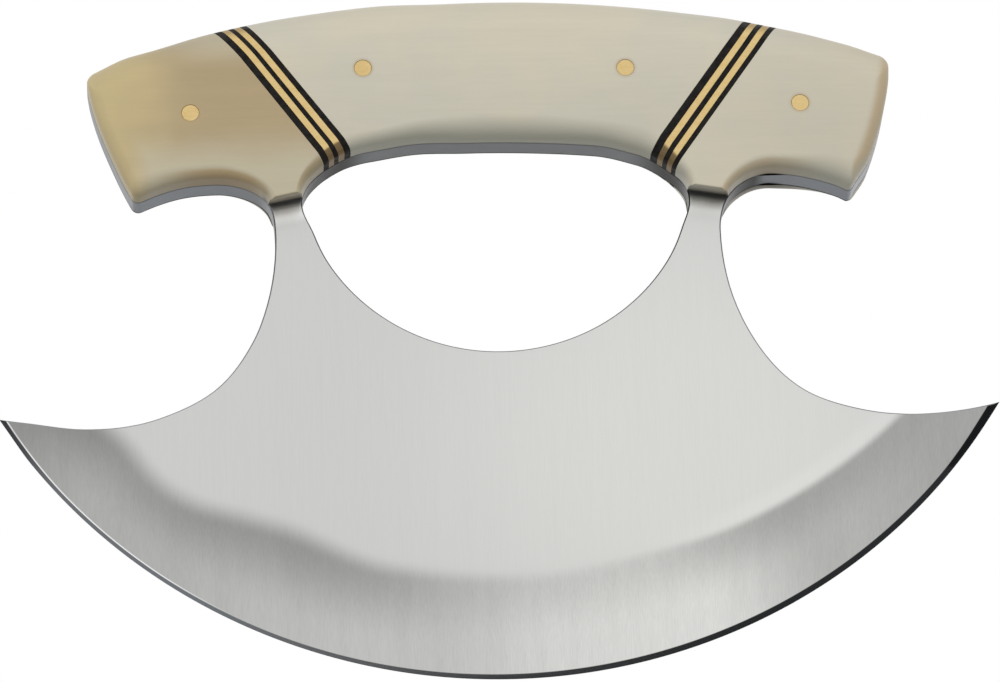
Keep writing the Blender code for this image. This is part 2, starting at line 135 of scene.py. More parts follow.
GRIP_END = Arc(Vector((GRIP_END_CENTRE_X, GRIP_TOP_HEIGHT - GRIP_END_CENTRE_DROP)), GRIP_END_RADIUS, True)
GRIP_TOP = Arc(Vector((0, GRIP_TOP_HEIGHT - GRIP_TOP_RADIUS)), GRIP_TOP_RADIUS, True)
HOLE = Arc(Vector((0, ROOF_HEIGHT - FINGER_HOLE_CENTRE_DROP)), FINGER_HOLE_RADIUS, False)
ROOF = Arc(Vector((0, ROOF_HEIGHT - FINGER_HOLE_ROOF_RADIUS)), FINGER_HOLE_ROOF_RADIUS, False)
print("grip underside at", round(UNDERSIDE_HEIGHT, 4), "roof at", round(ROOF_HEIGHT, 4))

# %% Tools for arcs
def angle_of(vector):
    return math.atan2(vector.y, vector.x)


def polar(centre, radius, angle):
    return Vector((centre.x + radius * math.cos(angle), centre.y + radius * math.sin(angle)))


def arc_points(arc, start, end, steps, radius_at=None):
    """Points along an arc between two angles. radius_at may vary the radius with the share travelled."""
    points = []
    for step in range(steps + 1):
        share = step / steps
        radius = radius_at(share) if radius_at else arc.radius
        points.append(polar(arc.centre, radius, start + (end - start) * share))
    return points


def moved_in(arc, distance):
    """The arc moved into the solid by a distance."""
    radius = arc.radius - distance if arc.solid_inside else arc.radius + distance
    return Arc(arc.centre, radius, arc.solid_inside)


def right_hand_crossing(first, second):
    """Where two circles cross, at the crossing that lies further right."""
    between = second.centre - first.centre
    distance = between.length
    along = (first.radius ** 2 - second.radius ** 2 + distance ** 2) / (2 * distance)
    across = math.sqrt(max(first.radius ** 2 - along ** 2, 0))
    unit = between / distance
    side = Vector((unit.y, -unit.x))
    crossings = [first.centre + unit * along + side * across * sign for sign in (1, -1)]
    return max(crossings, key=lambda point: point.x)


def corner_centre(first, second, radius):
    return right_hand_crossing(moved_in(first, radius), moved_in(second, radius))


def corner_points(first, second, radius, steps):
    """The rounding where two arcs meet."""
    centre = corner_centre(first, second, radius)
    turns = []
    for arc in (first, second):
        towards = centre - arc.centre if arc.solid_inside else arc.centre - centre
        turns.append(angle_of(towards))
    if turns[1] < turns[0]:
        turns[1] += 2 * math.pi
    return arc_points(Arc(centre, radius, True), turns[0], turns[1], steps)


def eased(share):
    """A share from 0 to 1 that starts and ends gently."""
    share = min(max(share, 0), 1)
    return share * share * (3 - 2 * share)


def mirrored(points):
    return [Vector((-point.x, point.y)) for point in reversed(points)]


def joined(*runs):
    """Runs of points end to end, with each joint kept once."""
    points = list(runs[0])
    for run in runs[1:]:
        points += run[1:]
    return points


# %% The grip's outline and the finger hole
LONG_ARC_STEPS = 48
ARC_STEPS = 28
CORNER_STEPS = 8
Insets = namedtuple("Insets", "top end overhang overhang_end post roof_end roof")


def same_insets(inset):
    return Insets(*[inset] * len(Insets._fields))


def grip_side(insets):
    """The right half of the grip's outline, from the root under it round the end to the middle of the top."""
    top = moved_in(GRIP_TOP, insets.top)
    end = moved_in(GRIP_END, insets.end)
    underside = moved_in(UNDERSIDE, insets.overhang_end)
    used_up = min(insets.overhang_end / UNDERSIDE_SHOULDER, 1)
    lower_radius = GRIP_LOWER_CORNER_RADIUS * (1 - used_up / 2)
    upper_radius = GRIP_TOP_CORNER_RADIUS * (1 - used_up / 2)
    lower = corner_centre(underside, end, lower_radius)
    upper = corner_centre(end, top, upper_radius)

    def root_radius(share):
        return ROOT.radius + insets.post + (insets.overhang - insets.post) * eased(share)

    def underside_radius(share):
        return UNDERSIDE.radius + insets.overhang + (insets.overhang_end - insets.overhang) * eased(share)

    return joined(
        arc_points(ROOT, math.pi, math.pi / 2, ARC_STEPS, root_radius),
        arc_points(underside, math.pi / 2, angle_of(lower - underside.centre), ARC_STEPS, underside_radius),
        corner_points(underside, end, lower_radius, CORNER_STEPS),
        arc_points(end, angle_of(lower - end.centre), angle_of(upper - end.centre), ARC_STEPS),
        corner_points(end, top, upper_radius, CORNER_STEPS),
        arc_points(top, angle_of(upper - top.centre), math.pi / 2, LONG_ARC_STEPS),
    )


def finger_hole_side(insets, lowest_angle):
    """The right half of the finger hole, from an angle on its bowl up to the middle of its roof."""
    radius = FINGER_HOLE_CORNER_RADIUS
    inner_bowl = Arc(HOLE.centre, HOLE.radius - radius, False)
    inner_roof = Arc(ROOF.centre, ROOF.radius - radius, False)
    corner = Arc(right_hand_crossing(inner_bowl, inner_roof), radius, False)
    bowl_end = angle_of(corner.centre - HOLE.centre)
    roof_start = angle_of(corner.centre - ROOF.centre)

    def corner_radius(share):
        return corner.radius + insets.post + (insets.roof_end - insets.post) * eased(share)

    def roof_radius(share):
        return ROOF.radius + insets.roof_end + (insets.roof - insets.roof_end) * eased(share)

    return joined(
        arc_points(moved_in(HOLE, insets.post), lowest_angle, bowl_end, LONG_ARC_STEPS),
        arc_points(corner, bowl_end, roof_start, ARC_STEPS, corner_radius),
        arc_points(ROOF, roof_start, math.pi / 2, ARC_STEPS, roof_radius),
    )


print("points on half a grip outline:", len(grip_side(same_insets(0))))

# %% [markdown]
# ## The ground blade
# On the real knife a wide wheel hollows both faces from the grind line down to a thin shoulder.
# A stone then puts the steep cutting bevel on the last millimetre, a little wider towards the tips.
# A Boolean with a cutter leaves long thin faces there, which shade badly. So the ground part is laid out as a
# grid of columns that fan out from the centre of the edge's arc. Each column knows how thick the steel is at
# every radius. A direction on the blade is an angle from straight down, positive to the right.

# %% How the blade is ground
TIP = right_hand_crossing(EDGE, HORN)
TIP_ANGLE = angle_of(TIP - EDGE.centre) + math.pi / 2
BAY_BOTTOM = Vector((BAY_CENTRE_X, BAY_BOTTOM_HEIGHT))
BAY_BOTTOM_ANGLE = angle_of(BAY_BOTTOM - EDGE.centre) + math.pi / 2
SHARPENED_WIDTHS = {"left": 0.00056, "right": 0.00098}
TIP_SHARPENED_WIDTHS = {"left": 0.00085, "right": 0.0014}
TIP_WIDENING_SHARE = 0.82
LINE_SOFTNESS = {"left": 0.0030, "middle": 0.0022, "right": 0.0010}

# The hand-held grind wanders on the left half: each wave has a middle angle, a half width and a height
Wave = namedtuple("Wave", "angle spread height")
LINE_WAVES = (
    Wave(math.radians(-26), math.radians(12), 0.0020),
    Wave(math.radians(-40), math.radians(8), -0.0012),
    Wave(math.radians(-50), math.radians(7), 0.0014),
    Wave(math.radians(16), math.radians(12), 0.0006),
)


def ray(angle):
    """The direction from the edge's centre at an angle from straight down."""
    return Vector((math.sin(angle), -math.cos(angle)))


def outline_radius(angle, inset):
    """How far from the edge's centre the steel begins on a ray that crosses the bay or the horn."""
    arc = moved_in(HORN if abs(angle) > BAY_BOTTOM_ANGLE else BAY, inset)
    outwards = ray(abs(angle))
    to_centre = arc.centre - EDGE.centre
    along = outwards.dot(to_centre)
    spare = arc.radius ** 2 - to_centre.length_squared + along ** 2
    return along + math.sqrt(spare) if spare > 0 else 0


def grind_start(angle):
    """How far from the edge's centre the grind begins."""
    outwards = ray(angle)
    offset = EDGE.centre - GRIND_LINE.centre
    along = outwards.dot(offset)
    start = -along + math.sqrt(along ** 2 - offset.length_squared + GRIND_LINE.radius ** 2)
    for wave in LINE_WAVES:
        start -= wave.height * eased(1 - abs(angle - wave.angle) / wave.spread)
    return start


def line_softness(angle):
    side = "left" if angle < 0 else "right"
    share = eased(abs(angle) / TIP_ANGLE * 2)
    return LINE_SOFTNESS["middle"] + (LINE_SOFTNESS[side] - LINE_SOFTNESS["middle"]) * share


def sharpened_width(angle):
    left, right = SHARPENED_WIDTHS["left"], SHARPENED_WIDTHS["right"]
    width = left + (right - left) * eased(0.5 + angle / TIP_ANGLE)
    at_tip = eased((abs(angle) / TIP_ANGLE - TIP_WIDENING_SHARE) / (1 - TIP_WIDENING_SHARE))
    return width + (TIP_SHARPENED_WIDTHS["left" if angle < 0 else "right"] - width) * at_tip


def half_thickness(radius, angle):
    """Half the steel's thickness at a distance from the edge's centre."""
    start, soft, sharpened = grind_start(angle), line_softness(angle), sharpened_width(angle)
    width = EDGE_RADIUS - sharpened - start
    into = radius - start
    if into < soft:
        into = max(into + soft, 0) ** 2 / (4 * soft)
    share = min(into / width, 1)
    drop = (PLATE_THICKNESS - SHOULDER_THICKNESS) / 2
    hollow = width ** 2 / (2 * GRIND_WHEEL_RADIUS)
    ground = HALF_PLATE - drop * share - hollow * share * (1 - share)
    slope = (SHOULDER_THICKNESS - EDGE_LAND) / 2 / sharpened
    return min(ground, EDGE_LAND / 2 + (EDGE_RADIUS - radius) * slope)


print("blade tip at", round(TIP.x, 5), round(TIP.y, 5))
print("grind width in the middle:", round(EDGE_RADIUS - grind_start(0), 5))

# %% The columns of the ground blade
EDGE_BREAK = 0.00024
GRIND_MARGIN = 0.0004
COLUMNS_PER_HALF = 96
TIP_COLUMNS = 16
HOLLOW_ROWS = 12
LINE_ROW_SHARES = (-1, -0.5, 0, 0.5, 1)
MEETING_SEARCH_START = math.radians(46)
HALVINGS = 50


def column_radii(angle):
    """The distances from the edge's centre of one column's points, from the top of the grind to the edge."""
    start, soft, sharpened = grind_start(angle), line_softness(angle), sharpened_width(angle)
    room = EDGE_RADIUS - outline_radius(angle, 0)
    shoulder = EDGE_RADIUS - sharpened
    marks = [start - soft - GRIND_MARGIN]
    marks += [start + soft * share for share in LINE_ROW_SHARES]
    hollow = shoulder - start - soft
    marks += [start + soft + hollow * row / HOLLOW_ROWS for row in range(1, HOLLOW_ROWS + 1)]
    top = max(marks[0], outline_radius(angle, min(EDGE_BREAK, room / 4)))
    low = EDGE_RADIUS - min(sharpened, room / 2)
    squeeze = (low - top) / (shoulder - marks[0])
    return [low - (shoulder - mark) * squeeze for mark in marks] + [EDGE_RADIUS]


def meets_bay(side):
    """The angle at which the top of the grind runs into the bay, found by halving."""
    low, high = side * MEETING_SEARCH_START, side * TIP_ANGLE
    for _ in range(HALVINGS):
        middle = (low + high) / 2
        above = grind_start(middle) - line_softness(middle) - GRIND_MARGIN
        if outline_radius(middle, EDGE_BREAK) > above:
            high = middle
        else:
            low = middle
    return high


def spread(start, end, steps):
    return [start + (end - start) * step / steps for step in range(steps + 1)]


LEFT_MEETING, RIGHT_MEETING = meets_bay(-1), meets_bay(1)
COLUMN_ANGLES = spread(-TIP_ANGLE, LEFT_MEETING, TIP_COLUMNS)[:-1]
COLUMN_ANGLES += spread(LEFT_MEETING, RIGHT_MEETING, 2 * COLUMNS_PER_HALF)
COLUMN_ANGLES += spread(RIGHT_MEETING, TIP_ANGLE, TIP_COLUMNS)[1:]
print("columns:", len(COLUMN_ANGLES))
print("the grind meets the bay at", round(math.degrees(LEFT_MEETING), 2), round(math.degrees(RIGHT_MEETING), 2))

# %% [markdown]
# ## The whole plate as one mesh
# The flat of the blade, the posts and the tang are one sheet, so one outline with a finger hole serves for all.
# Its rim gets a narrow broken edge, as a file or belt leaves it, because real steel never has a sharp rim.
# The flat is filled with triangles, which can't be seen on a plane, and its normals are weighted by area.

# %% The plate's outline above the grind
def outline_side(inset, meeting):
    """The right half of the outline, from where the grind meets it round the bay and the grip to the top."""
    radius = outline_radius(meeting, inset)
    first = EDGE.centre + ray(abs(meeting)) * radius
    bay, horn = moved_in(BAY, inset), moved_in(HORN, inset)
    if abs(meeting) > BAY_BOTTOM_ANGLE:
        horn_run = arc_points(horn, angle_of(first - horn.centre), -math.pi / 2, CORNER_STEPS)
        run = joined(horn_run, arc_points(bay, -math.pi / 2, NECK_TURN - math.pi, LONG_ARC_STEPS))
    else:
        run = arc_points(bay, angle_of(first - bay.centre), NECK_TURN - math.pi, LONG_ARC_STEPS)
    neck = arc_points(moved_in(NECK, inset), NECK_TURN - math.pi, -math.pi, CORNER_STEPS)
    return joined(run, neck) + grip_side(same_insets(inset))


def outline_above(inset):
    """The outline from the right end of the grind over the grip to the left end of it."""
    return joined(outline_side(inset, RIGHT_MEETING), mirrored(outline_side(inset, LEFT_MEETING)))


def hole_outline(inset):
    side = finger_hole_side(same_insets(inset), -math.pi / 2)
    return side + mirrored(side)[1:-1]


# %% [markdown]
# ## What the hand does to the drawing
# The drawn outline is symmetric, but a maker grinds and sands the real knife by eye, so its two sides differ.
# Moving single points would be hard to read and to change. So each difference is a hump or a nudge: a place, a
# reach, and a move that fades out. The plate, the bones and the layers all pass through the same moves, so they
# still fit each other. The blade also leans a little to one side of the grip.

# %% The real blade's lean
BLADE_LEAN, POST_LEAN = -0.00043, 0.0002
LEAN_HEIGHTS = (0.046, 0.066, 0.086, 0.0945)


def lean(height):
    """How far the hand-ground blade sits to one side of the grip's middle, at a height."""
    low, middle, upper, top = LEAN_HEIGHTS
    leaning = BLADE_LEAN + (POST_LEAN - BLADE_LEAN) * eased((height - low) / (middle - low))
    return leaning * (1 - eased((height - upper) / (top - upper)))


# %% The grip's hand-shaped outline
# A span is where a hump starts, is whole, starts to fall and ends, measured outwards from the middle
CREST_RISES = {"middle": 0.00018, "left": 0.00055, "right": 0.00028}
CREST_SPANS = {"left": (0.008, 0.022, 0.050, 0.066), "right": (0.034, 0.046, 0.054, 0.066)}
CREST_HEIGHTS = (0.1165, 0.1265)
END_SHIFTS = {"left": -0.00012, "left_top": -0.00075, "right": -0.00028}
END_START, END_REACH = 0.058, 0.012
END_FOOT, END_FOOT_REACH = 0.088, 0.006
END_TOP, END_TOP_REACH = 0.097, 0.015
STACK_BEND = 0.0006
BEND_SPAN = (0.030, 0.040, 0.053, 0.064)
BEND_HEIGHTS = (0.1150, 0.1235)
BOWL_SPARE, BOWL_REACH = 0.00028, 0.0060
BOWL_TOP, BOWL_TOP_REACH = 0.088, 0.010

# A nudge moves what lies round a place in X and Z, less and less towards its reach
Nudge = namedtuple("Nudge", "x z reach_x reach_z move_x move_z")
NUDGES = (
    Nudge(-0.0435, 0.0905, 0.0080, 0.0065, 0.00100, 0.00015),
    Nudge(-0.0340, 0.0905, 0.0060, 0.0065, -0.00085, 0.0),
    Nudge(0.0343, 0.0905, 0.0060, 0.0065, 0.00050, 0.0),
    Nudge(0.0430, 0.0905, 0.0070, 0.0060, -0.00025, 0.0),
    Nudge(-0.0725, 0.1170, 0.0078, 0.0090, 0.0, -0.00125),
    Nudge(0.0722, 0.1175, 0.0080, 0.0070, -0.00040, -0.00030),
    Nudge(-0.0140, 0.1000, 0.0095, 0.0070, 0.0, 0.00040),
    Nudge(-0.0290, 0.0975, 0.0070, 0.0060, 0.0, -0.00075),
    Nudge(0.0060, 0.1020, 0.0220, 0.0080, 0.0, -0.00022),
    Nudge(0.0290, 0.0975, 0.0120, 0.0070, -0.00030, -0.00135),
    Nudge(-0.0660, 0.0905, 0.0130, 0.0070, 0.00025, -0.00050),
    Nudge(0.0655, 0.0910, 0.0140, 0.0070, -0.00030, -0.00050),
    Nudge(0.0500, 0.1240, 0.0090, 0.0085, -0.00045, 0.0),
    Nudge(0.0465, 0.0950, 0.0120, 0.0110, 0.0, 0.00045),
    Nudge(0.0690, 0.0905, 0.0080, 0.0060, -0.00150, 0.00010),
    Nudge(-0.0515, 0.0558, 0.0110, 0.0110, 0.00030, -0.00035),
    Nudge(0.0646, 0.0515, 0.0110, 0.0080, 0.0, 0.00060),
    Nudge(0.0470, 0.0630, 0.0120, 0.0120, 0.00025, 0.0),
    Nudge(-0.0840, 0.0485, 0.0100, 0.0060, 0.0, 0.00045),
)


def between(value, rise_from, rise_to, fall_from, fall_to):
    """A smooth hump: 0, then 1 between the rise and the fall, then 0 again."""
    rise = eased((value - rise_from) / (rise_to - rise_from))
    return rise * (1 - eased((value - fall_from) / (fall_to - fall_from)))


def hand_shaped(place):
    """A place on the grip or the tang, moved as the hand-sanded knife differs from the drawn one."""
    x, z = place.x, place.z
    rise = CREST_RISES["middle"]
    for side, sign in SIDES.items():
        rise += CREST_RISES[side] * between(sign * x, *CREST_SPANS[side])
    rise *= eased((z - CREST_HEIGHTS[0]) / (CREST_HEIGHTS[1] - CREST_HEIGHTS[0]))
    shift = END_SHIFTS["left" if x < 0 else "right"]
    if x < 0:
        shift += END_SHIFTS["left_top"] * eased((z - END_TOP) / END_TOP_REACH)
    shift *= eased((abs(x) - END_START) / END_REACH) * eased((z - END_FOOT) / END_FOOT_REACH)
    bent = eased((z - BEND_HEIGHTS[0]) / (BEND_HEIGHTS[1] - BEND_HEIGHTS[0]))
    shift -= STACK_BEND * bent * between(-x, *BEND_SPAN)
    from_bowl = Vector((x, z)) - HOLE.centre
    off_bowl = abs(from_bowl.length - HOLE.radius)
    spare = BOWL_SPARE * eased(1 - off_bowl / BOWL_REACH) * eased((BOWL_TOP - z) / BOWL_TOP_REACH)
    shift += spare * from_bowl.x / HOLE.radius
    rise += spare * from_bowl.y / HOLE.radius
    for nudge in NUDGES:
        away = math.hypot((x - nudge.x) / nudge.reach_x, (z - nudge.z) / nudge.reach_z)
        shift += nudge.move_x * eased(1 - away)
        rise += nudge.move_z * eased(1 - away)
    return Vector((x + shift, place.y, z + rise))


def shape_by_hand(mesh):
    for vertex in mesh.vertices:
        vertex.co = hand_shaped(vertex.co)


# %% [markdown]
# ## From outline to mesh
# Each side of the plate is a grid of columns below and one flat fill above. Ribbons of faces join the two sides
# along the edge, along the outline and round the finger hole. Points that fall together are welded, and only
# then is the plate moved as the hand moves it.

# %% The plate's mesh
WELD_DISTANCE = 2e-7
PLACE_DIGITS = 9


def finished_mesh(name, shape):
    """The shape as a mesh, with its faces turned outwards."""
    bmesh.ops.recalc_face_normals(shape, faces=shape.faces)
    mesh = bpy.data.meshes.new(name)
    shape.to_mesh(mesh)
    shape.free()
    return mesh


def ribbon(shape, first, second, closed=False):
    """A row of faces between two rows of as many vertices."""
    spans = len(first) if closed else len(first) - 1
    for index in range(spans):
        after = (index + 1) % len(first)
        corners = [first[index], first[after], second[after], second[index]]
        if len({corner.co.to_tuple(PLACE_DIGITS) for corner in corners}) > 2:
            shape.faces.new(corners)


def plate_face(shape, face):
    """One face of the plate. Returns its rows of columns, and the inner and outer rows of the broken rims."""
    columns = []
    for angle in COLUMN_ANGLES:
        column = []
        for radius in column_radii(angle):
            flat = EDGE.centre + ray(angle) * radius
            column.append(shape.verts.new((flat.x, face * half_thickness(radius, angle), flat.y)))
        columns.append(column)
    for first, second in zip(columns, columns[1:]):
        ribbon(shape, first, second)

    def row(points, half):
        return [shape.verts.new((point.x, face * half, point.y)) for point in points]

    first, last = TIP_COLUMNS, TIP_COLUMNS + 2 * COLUMNS_PER_HALF
    above = row(outline_above(EDGE_BREAK)[1:-1], HALF_PLATE)
    hole = row(hole_outline(EDGE_BREAK), HALF_PLATE)
    boundary = [column[0] for column in columns[first:last + 1]] + above
    corners = boundary + hole
    for triangle in tessellate_polygon([[vertex.co for vertex in loop] for loop in (boundary, hole)]):
        shape.faces.new([corners[index] for index in triangle])

    inner = [column[0] for column in columns[last:]][::-1] + above
    inner += [column[0] for column in columns[:first + 1]][::-1]
    outer = [rim_vertex(shape, angle, face) for angle in reversed(COLUMN_ANGLES[last:])]
    outer += row(outline_above(0)[1:-1], HALF_PLATE - EDGE_BREAK)
    outer += [rim_vertex(shape, angle, face) for angle in reversed(COLUMN_ANGLES[:first + 1])]
    ribbon(shape, inner, outer)
    hole_rim = row(hole_outline(0), HALF_PLATE - EDGE_BREAK)
    ribbon(shape, hole, hole_rim, closed=True)
    return [column[-1] for column in columns], outer, hole_rim


def rim_vertex(shape, angle, face):
    """A point on the horn's or the bay's own outline, just below the broken edge."""
    radius = outline_radius(angle, 0)
    top = half_thickness(column_radii(angle)[0], angle)
    flat = EDGE.centre + ray(angle) * min(radius, EDGE_RADIUS)
    return shape.verts.new((flat.x, face * (top - min(EDGE_BREAK, top / 2)), flat.y))


def blade_mesh():
    shape = bmesh.new()
    front, rear = (plate_face(shape, face) for face in FACES.values())
    ribbon(shape, front[0], rear[0])
    ribbon(shape, front[1], rear[1])
    ribbon(shape, front[2], rear[2], closed=True)
    bmesh.ops.remove_doubles(shape, verts=shape.verts, dist=WELD_DISTANCE)
    for vertex in shape.verts:
        vertex.co = hand_shaped(vertex.co) + Vector((lean(vertex.co.z), 0, 0))
    open_edges = sum(1 for edge in shape.edges if not edge.is_manifold)
    print("blade faces:", len(shape.faces), "open edges:", open_edges)
    return finished_mesh("dressed_blade", shape)


def smooth_faces(piece, sharp_angle):
    """Smooth shading that keeps the sharp edges and weights the normals by the area of the faces."""
    piece.data.shade_smooth()
    piece.data.set_sharp_from_angle(angle=sharp_angle)
    weighting = piece.modifiers.new("weighted_normals", "WEIGHTED_NORMAL")
    weighting.keep_sharp = True


def into_scene(name, mesh):
    piece = bpy.data.objects.new(name, mesh)
    bpy.context.scene.collection.objects.link(piece)
    return piece


SHARP_ANGLES = {"blade": math.radians(14), "grip": math.radians(32), "pin": math.radians(50)}
blade = into_scene("steel_blade", blade_mesh())
smooth_faces(blade, SHARP_ANGLES["blade"])

# %% [markdown]
# ## Grips, spacers and pins
# A maker glues bone, fibre and brass to the tang as one long block, drills it for the pins, and sands it whole.
# The mesh is made in the same order: one rounded blank per face, cut into bones and layers by slanted boxes.
# Exact Booleans suit these cuts, because each cutter passes through the blank. Last, all is shaped by hand.

# %% The grip blank
SHOULDER_STEPS = 24
Shoulder = namedtuple("Shoulder", "inset depth draft_share", defaults=(0,))
FRONT_SHOULDERS = Insets(
    top=Shoulder(0.0070, 0.0052), end=Shoulder(0.0022, 0.0024), overhang=Shoulder(0.0021, 0.0021),
    overhang_end=Shoulder(0.0026, 0.0026), post=Shoulder(0.0012, 0.0016), roof_end=Shoulder(0.0022, 0.0024),
    roof=Shoulder(0.0038, 0.0040),
)
REAR_SHOULDERS = FRONT_SHOULDERS._replace(
    end=Shoulder(0.0034, 0.0050, 0.45),
    overhang=Shoulder(0.0040, 0.0052, 0.45), overhang_end=Shoulder(0.0040, 0.0052, 0.45),
    roof_end=Shoulder(0.0040, 0.0052, 0.45), roof=Shoulder(0.0040, 0.0052, 0.45),
)
RIGHT_CHANGES = {
    "front": {"end": Shoulder(0.0030, 0.0030), "overhang_end": Shoulder(0.0036, 0.0036),
              "roof_end": Shoulder(0.0030, 0.0030)},
    "rear": {"end": Shoulder(0.0030, 0.0030), "overhang": Shoulder(0.0022, 0.0050)},
}


def shoulder_inset(shoulder, below_face):
    """How far a rounded rim lies inside its outline, at a depth below the outer face."""
    share = 1 - min(below_face / shoulder.depth, 1)
    rounding = 1 - math.sqrt(max(1 - share ** 2, 0))
    return shoulder.inset * ((1 - shoulder.draft_share) * rounding + shoulder.draft_share * share)


def half_ring(shoulders, below_face):
    """The right half of the blank's outline: round the outside, then round the finger hole."""
    insets = Insets(*[shoulder_inset(shoulder, below_face) for shoulder in shoulders])
    foot_height = NECK_CENTRE_HEIGHT - GRIP_ROOT_RADIUS / 2
    bowl = moved_in(HOLE, insets.post)
    lowest_angle = math.asin((foot_height - bowl.centre.y) / bowl.radius)
    outer = [Vector((POST_OUTER_X - insets.post, foot_height))] + grip_side(insets)
    return outer, finger_hole_side(insets, lowest_angle)


def grip_ring(below_face, face_name):
    """The grip blank's outline at a depth below its outer face."""
    face = FACES[face_name]
    shoulders = FRONT_SHOULDERS if face_name == "front" else REAR_SHOULDERS
    left_outer, left_inner = half_ring(shoulders, below_face)
    right_outer, right_inner = half_ring(shoulders._replace(**RIGHT_CHANGES[face_name]), below_face)
    y = face * (HALF_PLATE + GLUE_FILM + GRIP_THICKNESS - below_face)
    loop = right_outer + mirrored(left_outer)[1:] + [Vector((-point.x, point.y)) for point in left_inner]
    loop += list(reversed(right_inner))[1:]
    return [Vector((point.x, y, point.y)) for point in loop]


def grip_blank(face_name):
    shape = bmesh.new()
    depths = [GRIP_THICKNESS * (step / SHOULDER_STEPS) ** 2 for step in range(SHOULDER_STEPS, -1, -1)]
    rows = [[shape.verts.new(point) for point in grip_ring(depth, face_name)] for depth in depths]
    for low, high in zip(rows, rows[1:]):
        ribbon(shape, low, high, closed=True)
    shape.faces.new(rows[0])
    shape.faces.new(rows[-1])
    return finished_mesh("grip_blank", shape)


# %% [markdown]
# ## Saws for the bones and the stacks
# A maker saws the bones at a slant and files their feet. Modelled one by one, each piece would have to agree
# with its neighbours along every cut. Here one slab for each layer, a slab for each neighbour and a prism for
# each foot do the sawing. Pieces that meet are cut by parallel planes, with a film of glue between them.

# %% The cutters
def box_cutter(name, low, high, placed):
    """A box between two corners of its own frame, placed by a matrix. It is never part of the object."""
    shape = bmesh.new()
    bmesh.ops.create_cube(shape, size=1)
    low, high = Vector(low), Vector(high)
    bmesh.ops.scale(shape, vec=high - low, verts=shape.verts)
    bmesh.ops.translate(shape, vec=(high + low) / 2, verts=shape.verts)
    bmesh.ops.transform(shape, matrix=placed, verts=shape.verts)
    return into_scene(name, finished_mesh(name, shape))


def stack_frame(side):
    """A frame on a spacer stack: its X runs towards the grip's end, and its Z up the stack."""
    sign = SIDES[side]
    height = UNDERSIDE_HEIGHT + (GRIP_TOP_HEIGHT - UNDERSIDE_HEIGHT) * STACK_HEIGHT_SHARE
    turn = Matrix.Rotation(sign * STACK_LEAN, 4, "Y")
    mirror = Matrix.Scale(sign, 4, Vector((1, 0, 0)))
    return Matrix.Translation((sign * (POST_OUTER_X - STACK_INSETS[side]), 0, height)) @ turn @ mirror


LAYERS = (
    ("inner_black_spacer", BLACK_LAYER),
    ("inner_brass_spacer", BRASS_LAYER),
    ("middle_black_spacer", MIDDLE_BLACK_LAYER),
    ("outer_brass_spacer", BRASS_LAYER),
    ("outer_black_spacer", BLACK_LAYER),
)
LAYER_TRIMS = {
    "left_outer_black_spacer": 0.00022,
    "right_inner_black_spacer": 0.00032,
    "right_middle_black_spacer": 0.00010,
    "right_outer_black_spacer": -0.00008,
}
STACK_SHIFTS = {"left": 0.0, "right": -0.00014}
STACK_THICKNESS = sum(thickness for _, thickness in LAYERS) + GLUE_FILM * (len(LAYERS) - 1)
CUT_DEPTH = HALF_PLATE + GLUE_FILM + GRIP_THICKNESS + CUT_OVERRUN
FOOT_X = POST_OUTER_X - POST_WIDTH / 2
FOOT_HEIGHT = UNDERSIDE_HEIGHT - GRIP_FOOT_DROP
FOOT_TILT = math.radians(9)
FOOT_ROUNDING = 0.0005
FOOT_STEPS = 8
FOOT_DROPS = {"left": 0.00022, "right": 0.0}


def foot_cutter(name, placed):
    """A prism below the foot of a bone, with a raised round at the outer face. Its profile is in -Y and Z."""
    outer = GLUE_FILM + GRIP_THICKNESS
    profile = [(CUT_DEPTH, -BAY_RADIUS), (0, -BAY_RADIUS), (0, 0)]
    for step in range(FOOT_STEPS + 1):
        turn = math.pi / 2 * step / FOOT_STEPS
        across, up = 1 - math.sin(turn), 1 - math.cos(turn)
        profile.append((outer - FOOT_ROUNDING * across, FOOT_ROUNDING * up))
    profile.append((CUT_DEPTH, FOOT_ROUNDING))
    shape = bmesh.new()
    ends = []
    for x in (-FINGER_HOLE_RADIUS / 2, FINGER_HOLE_RADIUS / 2):
        ends.append([shape.verts.new((x, -depth, z)) for depth, z in profile])
    ribbon(shape, ends[0], ends[1], closed=True)
    for row in ends:
        shape.faces.new(row)
    bmesh.ops.transform(shape, matrix=placed, verts=shape.verts)
    return into_scene(name, finished_mesh(name, shape))


def stack_cutters(side):
    """The cutters of one side, by name: the layers, the parts beyond and within the stack, and the feet."""
    placed, sign = stack_frame(side), SIDES[side]
    reach = GRIP_TOP_HEIGHT
    made = {}

    def slab(name, start, end, half_height):
        low, high = (start, -CUT_DEPTH, -half_height), (end, CUT_DEPTH, half_height)
        made[name] = box_cutter(side + "_" + name + "_cutter", low, high, placed)

    at = STACK_SHIFTS[side] - STACK_THICKNESS / 2
    slab("beyond", at - GLUE_FILM, reach, reach)
    for name, thickness in LAYERS:
        thickness += LAYER_TRIMS.get(side + "_" + name, 0)
        slab(name, at, at + thickness, reach / 2)
        at += thickness + GLUE_FILM
    slab("within", -reach, at, reach)

    foot = Matrix.Translation((sign * FOOT_X, 0, FOOT_HEIGHT - FOOT_DROPS[side]))
    foot = foot @ Matrix.Rotation(sign * GRIP_FOOT_SLOPE, 4, "Y")
    for face_name, face in FACES.items():
        tilted = foot @ Matrix.Scale(-face, 4, Vector((0, 1, 0))) @ Matrix.Translation((0, -HALF_PLATE, 0))
        tilted = tilted @ Matrix.Rotation(FOOT_TILT, 4, "X")
        made[face_name + "_foot"] = foot_cutter(side + "_" + face_name + "_foot_cutter", tilted)
    return made


